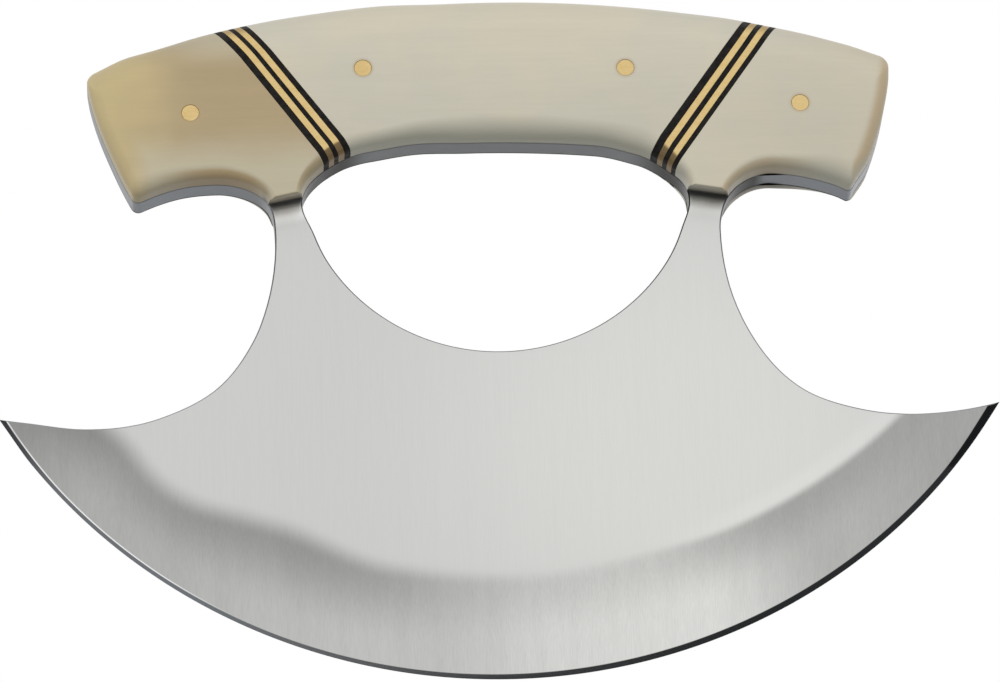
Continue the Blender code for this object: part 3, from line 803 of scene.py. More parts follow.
# %% [markdown]
# ## The pins and their holes
# Four brass rods run through bone, tang and bone, and are sanded flush, which leaves a very low dome. A plain
# cylinder has quite flat ends, so each rod is turned from a profile instead. The same turning makes the drills:
# bars a hair wider than the pins, which are taken away again after the cut.

# %% The pins
PIN_SIDES = 48
PIN_DOME = 0.00008
PIN_GAP = 0.00002
PIN_DOME_SHARES = (0.0, 0.35, 0.7, 0.9, 0.97)


def pin_places():
    """Where each pin stands in X and Z, by name."""
    outer_height = UNDERSIDE_HEIGHT + (GRIP_TOP_HEIGHT - UNDERSIDE_HEIGHT) * OUTER_PIN_HEIGHT_SHARE
    places = {}
    for side, sign in SIDES.items():
        outer_x = POST_OUTER_X + GRIP_OVERHANG * OUTER_PIN_OVERHANG_SHARES[side]
        inner_x = FINGER_HOLE_RADIUS * INNER_PIN_HOLE_SHARES[side]
        inner_height = ROOF_HEIGHT + GRIP_MIDDLE_DEPTH * INNER_PIN_DEPTH_SHARES[side]
        places[side + "_outer_pin"] = Vector((sign * outer_x, outer_height))
        places[side + "_inner_pin"] = Vector((sign * inner_x, inner_height))
    return places


def turned_bar(name, place, profile, sides):
    """A bar along Y, turned from (radius, y) pairs, with its axis at a place in X and Z."""
    shape = bmesh.new()
    rings = []
    for radius, y in profile:
        count = 1 if radius == 0 else sides
        ring = []
        for step in range(count):
            at = polar(place, radius, 2 * math.pi * step / sides)
            ring.append(shape.verts.new((at.x, y, at.y)))
        rings.append(ring)
    for first, second in zip(rings, rings[1:]):
        for index in range(sides):
            after = (index + 1) % sides
            corners = {first[index % len(first)]: 0, first[after % len(first)]: 0}
            corners.update({second[after % len(second)]: 0, second[index % len(second)]: 0})
            if len(corners) > 2:
                shape.faces.new(list(corners))
    return into_scene(name, finished_mesh(name, shape))


PIN_PLACES = pin_places()
PIN_END = HALF_PLATE + GLUE_FILM + GRIP_THICKNESS
pins = {}
hole_cutters = {}
for pin_name, pin_place in PIN_PLACES.items():
    cap = []
    for share in PIN_DOME_SHARES:
        cap.append((PIN_DIAMETER / 2 * share, PIN_END - PIN_DOME * share ** 2))
    cap.append((PIN_DIAMETER / 2, PIN_END - 2 * PIN_DOME))
    profile = [(radius, -y) for radius, y in cap] + list(reversed(cap))
    pins[pin_name] = turned_bar("brass_" + pin_name, pin_place, profile, PIN_SIDES)
    smooth_faces(pins[pin_name], SHARP_ANGLES["pin"])
    hole_radius = PIN_DIAMETER / 2 + PIN_GAP
    hole_profile = [(0, -CUT_DEPTH), (hole_radius, -CUT_DEPTH), (hole_radius, CUT_DEPTH), (0, CUT_DEPTH)]
    hole_cutters[pin_name] = turned_bar(pin_name + "_cutter", pin_place, hole_profile, PIN_SIDES)
print("pins:", {name: (round(place.x, 4), round(place.y, 4)) for name, place in PIN_PLACES.items()})

# %% Cutting the blanks into bones and layers
def cut(piece, cutter, operation="DIFFERENCE"):
    modifier = piece.modifiers.new(cutter.name, "BOOLEAN")
    modifier.operation = operation
    modifier.object = cutter
    modifier.solver = "EXACT"


def with_cuts_applied(piece):
    """The piece with its modifiers turned into mesh, so that the cutters can go."""
    bpy.context.view_layer.update()
    evaluated = piece.evaluated_get(bpy.context.evaluated_depsgraph_get())
    mesh = bpy.data.meshes.new_from_object(evaluated)
    piece.modifiers.clear()
    piece.data = mesh
    return piece


cutters = {side: stack_cutters(side) for side in SIDES}
blanks = {face_name: grip_blank(face_name) for face_name in FACES}
bones = {}
layers = {}
for face_name in FACES:
    for side in SIDES:
        for layer_name, _ in LAYERS:
            name = face_name + "_" + side + "_" + layer_name
            layers[name] = into_scene("dressed_" + name, blanks[face_name].copy())
            cut(layers[name], cutters[side][layer_name], "INTERSECT")
        name = face_name + "_" + side + "_grip"
        bones[name] = into_scene("dressed_" + name, blanks[face_name].copy())
        cut(bones[name], cutters[side]["within"])
        cut(bones[name], cutters[side][face_name + "_foot"])
        cut(bones[name], hole_cutters[side + "_outer_pin"])
    name = face_name + "_centre_grip"
    bones[name] = into_scene("dressed_" + name, blanks[face_name].copy())
    for side in SIDES:
        cut(bones[name], cutters[side]["beyond"])
        cut(bones[name], hole_cutters[side + "_inner_pin"])

for piece in list(bones.values()) + list(layers.values()):
    with_cuts_applied(piece)
    shape_by_hand(piece.data)
    smooth_faces(piece, SHARP_ANGLES["grip"])
for cutter in [cutter for made in cutters.values() for cutter in made.values()] + list(hole_cutters.values()):
    bpy.data.objects.remove(cutter, do_unlink=True)
print("bones:", {name: len(piece.data.polygons) for name, piece in bones.items()})

# %% [markdown]
# ## Tools for materials
# A finish is a chain of nodes. These helpers add one node or one step at a time, so each material below reads
# as a list of what happens to the surface. A value that is the same all over is set on the shader's own socket.
# A fade is where a change starts and ends, with its levels there. A spot is a round patch in X and Z.

# %% Node helpers
Fade = namedtuple("Fade", "start end low high", defaults=(0.0, 1.0))
Spot = namedtuple("Spot", "x z radius fade")
Streaks = namedtuple("Streaks", "stretch fine_scale broad_scale broad_share")


def add_node(tree, kind, inputs=(), **settings):
    """A node of a kind, with its settings, and with inputs set to values or linked from sockets."""
    made = tree.nodes.new(kind)
    for name, value in settings.items():
        setattr(made, name, value)
    for name, value in dict(inputs).items():
        if isinstance(value, bpy.types.NodeSocket):
            tree.links.new(value, made.inputs[name])
        else:
            made.inputs[name].default_value = value
    return made


def maths(tree, operation, *values):
    return add_node(tree, "ShaderNodeMath", enumerate(values), operation=operation).outputs[0]


def mix_number(tree, share, first, second):
    return add_node(tree, "ShaderNodeMix", {0: share, 2: first, 3: second}).outputs[0]


def vector_maths(tree, operation, *values):
    made = add_node(tree, "ShaderNodeVectorMath", enumerate(values), operation=operation)
    return made.outputs["Value" if operation in ("LENGTH", "DOT_PRODUCT", "DISTANCE") else "Vector"]


def ramp(tree, value, start, end, low=0.0, high=1.0):
    """A smooth change from one number to another while a value runs from start to end."""
    inputs = {"Value": value, "From Min": start, "From Max": end, "To Min": low, "To Max": high}
    made = add_node(tree, "ShaderNodeMapRange", inputs, interpolation_type="SMOOTHSTEP")
    return made.outputs["Result"]


def by_turn(start, end, low=0.0, high=1.0):
    """A fade over a direction on the blade, in degrees from straight down."""
    return Fade(math.radians(start), math.radians(end), low, high)


def product(tree, *values):
    result = values[0]
    for value in values[1:]:
        result = maths(tree, "MULTIPLY", result, value)
    return result


def length_of(tree, across, up):
    return maths(tree, "SQRT", maths(tree, "ADD", product(tree, across, across), product(tree, up, up)))


def colour_of(red, green, blue):
    """A colour written as it looks on a screen, from 0 to 255, as the linear values that a shader takes."""
    linear = []
    for level in (red / 255, green / 255, blue / 255):
        linear.append(level / 12.92 if level <= 0.04045 else ((level + 0.055) / 1.055) ** 2.4)
    return (*linear, 1)


def mix_colour(tree, share, first, second, blend="MIX"):
    inputs = {0: share, 6: first, 7: second}
    return add_node(tree, "ShaderNodeMix", inputs, data_type="RGBA", blend_type=blend).outputs[2]


def dimmed(tree, colour, level):
    """The colour times a level that changes over the surface."""
    grey = add_node(tree, "ShaderNodeCombineColor", {0: level, 1: level, 2: level}).outputs[0]
    return mix_colour(tree, 1.0, colour, grey, "MULTIPLY")


def noise(tree, place, scale, detail=2.0, roughness=0.5):
    inputs = {"Vector": place, "Scale": scale, "Detail": detail, "Roughness": roughness}
    return add_node(tree, "ShaderNodeTexNoise", inputs).outputs["Fac"]


def object_place(tree):
    return add_node(tree, "ShaderNodeTexCoord").outputs["Object"]


def split(tree, vector):
    made = add_node(tree, "ShaderNodeSeparateXYZ", {0: vector})
    return made.outputs[0], made.outputs[1], made.outputs[2]


def new_group(name, inputs, outputs):
    """A node group with named inputs and outputs, given as pairs of a name and a kind or a default."""
    tree = bpy.data.node_groups.new(name, "ShaderNodeTree")
    for socket_name, default in inputs:
        kind = "NodeSocketVector" if default == "vector" else "NodeSocketFloat"
        socket = tree.interface.new_socket(socket_name, in_out="INPUT", socket_type=kind)
        if default != "vector":
            socket.default_value = default
    for socket_name, kind in outputs:
        tree.interface.new_socket(socket_name, in_out="OUTPUT", socket_type="NodeSocket" + kind)
    entry = tree.nodes.new("NodeGroupInput").outputs
    leaving = tree.nodes.new("NodeGroupOutput").inputs
    return tree, entry, leaving


def use_group(tree, group, inputs=()):
    return add_node(tree, "ShaderNodeGroup", inputs, node_tree=group).outputs


# %% Effects that several finishes share
def streaks_group():
    """Fine lines along one direction, as a belt, a buff or growth leaves them, around a level of one half."""
    numbers = [("Fine Scale", 1.0), ("Broad Scale", 1.0), ("Broad Share", 0.4)]
    inputs = [("Place", "vector"), ("Stretch", "vector")] + numbers
    tree, entry, leaving = new_group("streaks", inputs, [("Value", "Float")])
    stretched = vector_maths(tree, "MULTIPLY", entry["Place"], entry["Stretch"])
    fine = noise(tree, stretched, entry["Fine Scale"], detail=3.0, roughness=0.6)
    broad = noise(tree, stretched, entry["Broad Scale"])
    share = entry["Broad Share"]
    kept = product(tree, fine, maths(tree, "SUBTRACT", 1.0, share))
    added = product(tree, broad, share)
    tree.links.new(maths(tree, "ADD", kept, added), leaving["Value"])
    return tree


def cloud_group():
    """Soft uneven patches with a set size, from 0 to 1."""
    inputs = [("Place", "vector"), ("Scale", 1.0), ("Low", 0.35), ("High", 0.65)]
    tree, entry, leaving = new_group("clouds", inputs, [("Mask", "Float")])
    value = noise(tree, entry["Place"], entry["Scale"], detail=3.0)
    tree.links.new(ramp(tree, value, entry["Low"], entry["High"]), leaving["Mask"])
    return tree


def facing_group():
    """How much a surface faces down, up, to the right, and along the plate's thickness."""
    outputs = [("Down", "Float"), ("Up", "Float"), ("Rightwards", "Float"), ("Flat", "Float")]
    tree, _, leaving = new_group("facing", [], outputs)
    normal = add_node(tree, "ShaderNodeNewGeometry").outputs["Normal"]
    x, y, z = split(tree, normal)
    tree.links.new(maths(tree, "MAXIMUM", product(tree, z, -1.0), 0.0), leaving["Down"])
    tree.links.new(maths(tree, "MAXIMUM", z, 0.0), leaving["Up"])
    tree.links.new(x, leaving["Rightwards"])
    tree.links.new(maths(tree, "ABSOLUTE", y), leaving["Flat"])
    return tree


def spot_group():
    """A round patch in X and Z about a middle point, whole inside its radius and gone over its fade."""
    inputs = [("Place", "vector"), ("X", 0.0), ("Z", 0.0), ("Radius", 0.01), ("Fade", 0.01)]
    tree, entry, leaving = new_group("spot", inputs, [("Mask", "Float")])
    x, _, z = split(tree, entry["Place"])
    distance = length_of(tree, maths(tree, "SUBTRACT", x, entry["X"]), maths(tree, "SUBTRACT", z, entry["Z"]))
    outside = maths(tree, "ADD", entry["Radius"], entry["Fade"])
    tree.links.new(ramp(tree, distance, entry["Radius"], outside, 1.0, 0.0), leaving["Mask"])
    return tree


STREAKS = streaks_group()
CLOUDS = cloud_group()
FACING = facing_group()
SPOT = spot_group()


def streaks_on(tree, place, kind):
    inputs = {"Place": place, "Stretch": kind.stretch, "Fine Scale": kind.fine_scale,
              "Broad Scale": kind.broad_scale, "Broad Share": kind.broad_share}
    return use_group(tree, STREAKS, inputs)["Value"]


def clouds_on(tree, place, scale, low, high):
    return use_group(tree, CLOUDS, {"Place": place, "Scale": scale, "Low": low, "High": high})["Mask"]


def spot_on(tree, place, spot):
    inputs = {"Place": place, "X": spot.x, "Z": spot.z, "Radius": spot.radius, "Fade": spot.fade}
    return use_group(tree, SPOT, inputs)["Mask"]


def new_finish(name, roughness, metallic=0.0):
    """A material with its tree, its shader and the object's own coordinates."""
    material = bpy.data.materials.new(name)
    material.use_nodes = True
    tree = material.node_tree
    shader = tree.nodes["Principled BSDF"]
    shader.inputs["Roughness"].default_value = roughness
    shader.inputs["Metallic"].default_value = metallic
    return material, tree, shader, object_place(tree)


def link_bump(tree, shader, height, strength, distance):
    bump = add_node(tree, "ShaderNodeBump", {"Height": height, "Strength": strength, "Distance": distance})
    tree.links.new(bump.outputs["Normal"], shader.inputs["Normal"])


def link_finish(tree, shader, colour, roughness):
    tree.links.new(colour, shader.inputs["Base Color"])
    tree.links.new(roughness, shader.inputs["Roughness"])


print("shared effects:", [group.name for group in (STREAKS, CLOUDS, FACING, SPOT)])

# %% [markdown]
# ## Satin steel
# The flat is brushed upright on a fine belt. The hollow grind is brushed too, but it turns away from the light,
# so it is painted darker below the grind line, most of all towards the tips: painted shade and reflection.
# The cutting bevel is stoned, and its nearly black look is a painted dark reflection. The masks come from
# distances to the arcs that the blade is drawn with, so both always agree.

# %% Where on the blade a point is
def blade_zones_group():
    """Distance up from the edge, depth into the grind and direction from straight down, for a place."""
    outputs = [("Up From Edge", "Float"), ("Into Grind", "Float"), ("Turn", "Float")]
    tree, entry, leaving = new_group("blade_zones", [("Place", "vector")], outputs)
    x, _, z = split(tree, entry["Place"])
    low, middle = LEAN_HEIGHTS[:2]
    x = maths(tree, "SUBTRACT", x, ramp(tree, z, low, middle, BLADE_LEAN, POST_LEAN))

    def distance_to(centre):
        return length_of(tree, x, maths(tree, "SUBTRACT", z, centre.y))

    tree.links.new(maths(tree, "SUBTRACT", EDGE_RADIUS, distance_to(EDGE.centre)), leaving["Up From Edge"])
    turn = maths(tree, "ARCTAN2", x, maths(tree, "SUBTRACT", EDGE.centre.y, z))
    tree.links.new(turn, leaving["Turn"])
    into = maths(tree, "SUBTRACT", distance_to(GRIND_LINE.centre), GRIND_LINE_RADIUS)
    for wave in LINE_WAVES:
        away = maths(tree, "ABSOLUTE", maths(tree, "SUBTRACT", turn, wave.angle))
        into = maths(tree, "ADD", into, ramp(tree, away, 0.0, wave.spread, wave.height, 0.0))
    tree.links.new(into, leaving["Into Grind"])
    return tree


BLADE_ZONES = blade_zones_group()

# %% The steel's colours and their places
FLAT_STEEL = colour_of(206, 206, 204)
# A paler patch on the flat of the blade is a painted reflection
SHEEN_STEEL = colour_of(217, 217, 214)
CUT_STEEL = colour_of(127, 129, 131)
# A painted paler reflection on the downward cut faces at the ends
END_REFLECTION_STEEL = colour_of(140, 144, 150)
# Painted shade on the sideways cut faces by the roots
SHADED_CUT_STEEL = colour_of(34, 34, 32)
# The nearly black cutting bevel is a painted dark reflection
BLACK_REFLECTION_STEEL = colour_of(27, 28, 29)
# A painted highlight along the top of the cutting bevel
EDGE_HIGHLIGHT = colour_of(246, 246, 246)

BELT = Streaks((1.0, 1.0, 0.03), 5200.0, 420.0, 0.35)
FLAT_STREAKS, GRIND_STREAKS = 0.16, 0.50
BELT_ROUGHNESS = Fade(0.3, 0.7, 0.30, 0.40)
SHEEN_SPOT = Spot(0.034, 0.044, 0.012, 0.056)
# A painted highlight on the flat just above the grind line, on the right
ROLLED_HIGHLIGHT_DEPTH, ROLLED_HIGHLIGHT_TURN, ROLLED_HIGHLIGHT_GAIN = Fade(-0.0042, -0.0016), by_turn(16, 32), 0.045

# The grind's painted shade and reflection: its level at its line and at the edge, with a fade for each
# stretch of the curve that is painted darker
LINE_LEVEL, EDGE_LEVEL = 0.93, 1.09
LINE_FADES = (by_turn(8, -25, 1.0, 0.58), by_turn(-43, -56, 1.0, 0.80), by_turn(14, 36, 1.0, 0.60))
EDGE_FADES = (
    by_turn(8, -8, 1.0, 0.83), by_turn(-10, -45, 1.0, 0.79), by_turn(-45, -60, 1.0, 0.65),
    by_turn(20, 35, 1.0, 0.62), by_turn(38, 52, 1.0, 0.86),
)
LINE_SHARE, EDGE_SHARE = 0.06, by_turn(-20, 5, 0.80, 0.62)
LINE_BLUR, LINE_BLUR_SHARES = by_turn(-30, 15, 0.0040, 0.0014), (-0.6, 0.7)

# Where the painted dark reflection of the cutting bevel lies
BLACK_REFLECTION_RIM = Fade(-0.00005, 0.00012, 1.0, 0.0)
# Where the painted highlight line lies
EDGE_HIGHLIGHT_RIM, EDGE_HIGHLIGHT_TURN = Fade(0.00014, 0.00034, 1.0, 0.0), by_turn(-26, -38)
CUT_FACE = Fade(0.96, 0.8)
# Where the painted paler reflection on the cut faces lies
END_REFLECTION_X, END_REFLECTION_DOWN = Fade(0.03, 0.06), Fade(0.2, 0.6)
# Where the painted shade on the cut faces lies
CUT_SHADE_SIDEWAYS = Fade(0.05, 0.35)
CUT_SHADE_PLACES = ((-0.0305, 0.0955), (0.0315, 0.0920), (0.0445, 0.0940))
CUT_SHADE_SPOTS = [Spot(x, z, 0.0034, 0.0070) for x, z in CUT_SHADE_PLACES]
# Painted shade on the cut faces that look left
LEFTWARDS_CUT_SHADE = Fade(-0.3, -0.8, 1.0, 0.79)

# Pairs are for the left foot and the right foot. Heights are below the foot
FOOT_SHADOW_START, FOOT_SHADOW_ENDS, FOOT_SHADOW_LEVELS = 0.0003, (0.0011, 0.0014), (0.4, 0.3)
FOOT_SHADOW_REACH = Fade(0.0080, 0.0060)
FOOT_GLINT_STARTS, FOOT_GLINT_WHOLE, FOOT_GLINT_GAINS = (0.0010, 0.0012), (0.0016, 0.0019), (0.52, 0.28)
FOOT_GLINT_END = Fade(0.0022, 0.0048, 1.0, 0.0)
FRONT_FACE = Fade(0.0, -0.001)


# %% The steel
def ground_light(tree, zones):
    """How light each point of the ground part is painted, as painted shade and reflection, and how far the
    grind has begun there.
    """
    up, into, turn = zones["Up From Edge"], zones["Into Grind"], zones["Turn"]
    line = product(tree, LINE_LEVEL, *[ramp(tree, turn, *fade) for fade in LINE_FADES])
    edge = product(tree, EDGE_LEVEL, *[ramp(tree, turn, *fade) for fade in EDGE_FADES])
    share = maths(tree, "DIVIDE", into, maths(tree, "ADD", into, up))
    level = mix_number(tree, ramp(tree, share, LINE_SHARE, ramp(tree, turn, *EDGE_SHARE)), line, edge)
    blur = ramp(tree, turn, *LINE_BLUR)
    return level, ramp(tree, into, *[product(tree, blur, part) for part in LINE_BLUR_SHARES])


def foot_light(tree, place):
    """The tight shadow under the bone's foot and the bright steel just below it, as a level."""
    x, y, z = split(tree, place)

    def sided(pair):
        return ramp(tree, x, -FOOT_X, FOOT_X, *pair)

    outwards = maths(tree, "SUBTRACT", maths(tree, "ABSOLUTE", x), FOOT_X)
    height = sided([FOOT_HEIGHT - FOOT_DROPS[side] for side in SIDES])
    line = maths(tree, "MULTIPLY_ADD", outwards, -math.tan(GRIP_FOOT_SLOPE), height)
    below = maths(tree, "SUBTRACT", line, z)
    shadow = ramp(tree, below, FOOT_SHADOW_START, sided(FOOT_SHADOW_ENDS), sided(FOOT_SHADOW_LEVELS))
    shadow = mix_number(tree, ramp(tree, below, *FOOT_SHADOW_REACH), 1.0, shadow)
    glint = ramp(tree, below, sided(FOOT_GLINT_STARTS), sided(FOOT_GLINT_WHOLE))
    glint = product(tree, glint, ramp(tree, below, *FOOT_GLINT_END), ramp(tree, y, *FRONT_FACE))
    return product(tree, shadow, maths(tree, "MULTIPLY_ADD", glint, sided(FOOT_GLINT_GAINS), 1.0))


def sharpened_mask_width(tree, turn):
    """The width of the cutting bevel at each direction, as sharpened_width gives it for the mesh."""
    def sided(widths):
        return ramp(tree, turn, -TIP_ANGLE / 2, TIP_ANGLE / 2, widths["left"], widths["right"])

    at_tip = ramp(tree, maths(tree, "ABSOLUTE", turn), TIP_ANGLE * TIP_WIDENING_SHARE, TIP_ANGLE)
    return mix_number(tree, at_tip, sided(SHARPENED_WIDTHS), sided(TIP_SHARPENED_WIDTHS))


def cut_steel(tree, place, facing):
    """The colour of the plate's cut faces: a painted paler reflection underneath at the ends, painted shade
    beside the feet.
    """
    x, _, _ = split(tree, place)
    outside = ramp(tree, maths(tree, "ABSOLUTE", x), *END_REFLECTION_X)
    # Painted paler reflection on the downward cut faces at the ends
    end_reflection = product(tree, outside, ramp(tree, facing["Down"], *END_REFLECTION_DOWN))
    colour = mix_colour(tree, end_reflection, CUT_STEEL, END_REFLECTION_STEEL)
    # Painted shade on sideways cut faces beside the feet
    shade_sideways = ramp(tree, maths(tree, "ABSOLUTE", facing["Rightwards"]), *CUT_SHADE_SIDEWAYS)
    for spot in CUT_SHADE_SPOTS:
        cut_shade = product(tree, spot_on(tree, place, spot), shade_sideways)
        colour = mix_colour(tree, cut_shade, colour, SHADED_CUT_STEEL)
    # Painted shade on the cut faces that look left
    return dimmed(tree, colour, ramp(tree, facing["Rightwards"], *LEFTWARDS_CUT_SHADE))


def steel_finish():
    material, tree, shader, place = new_finish("satin_steel_finish", roughness=0.34, metallic=1.0)
    zones = use_group(tree, BLADE_ZONES, {"Place": place})
    facing = use_group(tree, FACING)
    up, into, turn = zones["Up From Edge"], zones["Into Grind"], zones["Turn"]
    belt = streaks_on(tree, place, BELT)

    # The paler patch on the flat is a painted reflection
    colour = mix_colour(tree, spot_on(tree, place, SHEEN_SPOT), FLAT_STEEL, SHEEN_STEEL)
    # Painted highlight where the flat rolls into the grind
    rolled_highlight = product(tree, ramp(tree, into, *ROLLED_HIGHLIGHT_DEPTH), ramp(tree, turn, *ROLLED_HIGHLIGHT_TURN))
    colour = dimmed(tree, colour, maths(tree, "MULTIPLY_ADD", rolled_highlight, ROLLED_HIGHLIGHT_GAIN, 1.0))
    level, in_grind = ground_light(tree, zones)
    colour = dimmed(tree, colour, mix_number(tree, in_grind, 1.0, level))
    contrast = mix_number(tree, in_grind, FLAT_STREAKS, GRIND_STREAKS)
    from_half = maths(tree, "SUBTRACT", belt, 0.5)
    colour = dimmed(tree, colour, maths(tree, "MULTIPLY_ADD", from_half, contrast, 1.0))

    above = maths(tree, "SUBTRACT", up, sharpened_mask_width(tree, turn))
    # Painted highlight line along the top of the cutting bevel
    edge_highlight = product(tree, ramp(tree, above, *EDGE_HIGHLIGHT_RIM), ramp(tree, turn, *EDGE_HIGHLIGHT_TURN))
    colour = mix_colour(tree, edge_highlight, colour, EDGE_HIGHLIGHT)
    # Painted dark reflection on the stoned cutting bevel
    colour = mix_colour(tree, ramp(tree, above, *BLACK_REFLECTION_RIM), colour, BLACK_REFLECTION_STEEL)

    colour = dimmed(tree, colour, foot_light(tree, place))
    cut_mask = ramp(tree, facing["Flat"], *CUT_FACE)
    colour = mix_colour(tree, cut_mask, colour, cut_steel(tree, place, facing))
    link_finish(tree, shader, colour, ramp(tree, belt, *BELT_ROUGHNESS))
    link_bump(tree, shader, belt, strength=0.12, distance=0.00004)
    return material


steel = steel_finish()
print("steel finish nodes:", len(steel.node_tree.nodes))

# %% [markdown]
# ## Bone
# The grips are bone, sanded and polished: ivory with a cool grey cast, fine grain along its length, and brown
# on the lower rounding by the roots, partly a brown tint and partly painted shade in the crease. The left ones
# are olive tan with a paler rim. Shade is painted on too: on the tops, the lower face, the downward rounding,
# the root corners, the rear underside by the root and the facets under the feet.

# %% The bone's colours and their places
IVORY = colour_of(211, 203, 182)
COOL_IVORY = colour_of(205, 200, 183)
PALE_TAN = colour_of(192, 184, 160)
OLIVE_BONE = colour_of(196, 178, 132)
PEACH_BONE = colour_of(174, 155, 119)
RIM_BONE = colour_of(196, 177, 143)
# A cool painted shade for the downward rounding
UNDER_SHADE_BONE = colour_of(195, 193, 176)
# Brown for the brown tint and painted shade by the roots, and for the rings round the pins
BROWN_BONE = colour_of(176, 150, 106)
# Brown in the inner root corner: partly a brown tint, partly painted shade
ROOT_BROWN_AND_SHADE_BONE = colour_of(150, 131, 92)
GLUE_LINE = colour_of(62, 58, 52)
# The colour of the painted contact shadow under each foot
FOOT_SHADOW_SEAM = colour_of(30, 28, 23)

GRAIN = Streaks((0.06, 1.0, 1.0), 1500.0, 260.0, 0.5)
GRAIN_LEVEL = Fade(0.3, 0.7, 0.975, 1.025)
GRAIN_ROUGHNESS = Fade(0.3, 0.7, 0.36, 0.46)
BONE_CLOUD_SCALE, BONE_CLOUD_LEVELS = 55.0, (0.38, 0.66)
# Painted shade on faces that look up
UPWARDS_PAINTED_SHADE = Fade(0.0, 0.8, 1.0, 0.85)

MOTTLE_SCALE, MOTTLE_ACROSS, MOTTLE_UP = 75.0, 0.02, 0.006
TOWARDS_STACK = Fade(-0.062, -0.040)
TAN_ABOVE_FOOT, TAN_AT_END = Fade(0.0975, 0.1075, 0.15, 1.0), Fade(-0.060, -0.067)
TAN_TOP, TAN_TOP_BY_STACK = Fade(0.1140, 0.1205), Fade(-0.064, -0.050, 1.0, 0.30)

TAN_RIM_LEVEL = Fade(-0.2, -0.8, 1.0, 1.12)
IVORY_RIM = Fade(0.1, 0.6)
IVORY_END_LEVEL = Fade(0.035, 0.055, 1.0, 0.955)
# Painted shade, darker towards the bottom of the ivory
IVORY_LOW_PAINTED_SHADE = Fade(0.100, 0.122, 0.92, 0.99)
# Where the cool painted shade on the downward rounding lies
IVORY_UNDER_SHADE = Fade(0.2, 0.8)

# Each brown and painted shade is a spot, the way it faces, and its strength
# Brown by the roots: partly a brown tint, partly painted shade in the crease
TAN_BROWN_AND_SHADE, IVORY_BROWN_AND_SHADE = Spot(-0.048, 0.097, 0.003, 0.012), Spot(0.046, 0.097, 0.003, 0.012)
BROWN_AND_SHADE_DOWN, TAN_BROWN_AND_SHADE_SHARE, IVORY_BROWN_AND_SHADE_SHARE = Fade(0.25, 0.6), 0.75, 0.5
# The inner root corner: partly a brown tint, partly painted shade
ROOT_BROWN_AND_SHADE_SPOT, ROOT_BROWN_AND_SHADE_RIGHTWARDS, ROOT_BROWN_AND_SHADE_SHARE = Spot(-0.0345, 0.0965, 0.0025, 0.0065), Fade(0.1, 0.45), 0.65
# Painted shade on the rear bone's underside by the right root
REAR_SHADE_SPOT, REAR_SHADE_FACE, REAR_SHADE_LEVEL = Spot(0.046, 0.094, 0.004, 0.010), Fade(0.0, 0.001), 0.4
HALO_FADE, HALO_SHARE = 0.0007, 0.35
GLUE = Fade(HALF_PLATE + 0.00022, HALF_PLATE + 0.00060, 0.9, 0.0)
# Where the painted shade and shadow under each foot lie
FOOT_SHADE_SPOTS = [Spot(x, FOOT_HEIGHT - 0.0020, 0.0040, 0.0014) for x in (-FOOT_X, FOOT_X)]
FOOT_SHADE_DOWN, FOOT_SHADE_LEVEL = Fade(0.3, 0.75), Fade(0.0072, 0.0045, 0.85, 0.5)
SEAM_SHADOW = Fade(HALF_PLATE + 0.0008, HALF_PLATE + 0.0022, 0.85, 0.0)


# %% The bone
def tan_stain(tree, place):
    """Olive at the end, peach brown towards the stack, and paler near the foot and the top."""
    x, _, z = split(tree, place)
    mottle = noise(tree, place, MOTTLE_SCALE)
    towards_stack = ramp(tree, maths(tree, "MULTIPLY_ADD", mottle, MOTTLE_ACROSS, x), *TOWARDS_STACK)
    tan = mix_colour(tree, towards_stack, OLIVE_BONE, PEACH_BONE)
    low = ramp(tree, maths(tree, "MULTIPLY_ADD", mottle, MOTTLE_UP, z), *TAN_ABOVE_FOOT)
    low = maths(tree, "MAXIMUM", low, ramp(tree, x, *TAN_AT_END))
    by_stack = ramp(tree, x, *TAN_TOP_BY_STACK)
    top = mix_number(tree, ramp(tree, z, *TAN_TOP), 1.0, by_stack)
    return mix_colour(tree, product(tree, low, top), PALE_TAN, tan)


def painted_foot_shade(tree, place, colour, down, from_middle):
    """Painted shade on the facet under each foot, with a painted black shadow seam along the steel."""
    for spot in FOOT_SHADE_SPOTS:
        foot = product(tree, spot_on(tree, place, spot), ramp(tree, down, *FOOT_SHADE_DOWN))
        colour = dimmed(tree, colour, mix_number(tree, foot, 1.0, ramp(tree, from_middle, *FOOT_SHADE_LEVEL)))
        colour = mix_colour(tree, product(tree, foot, ramp(tree, from_middle, *SEAM_SHADOW)), colour, FOOT_SHADOW_SEAM)
    return colour


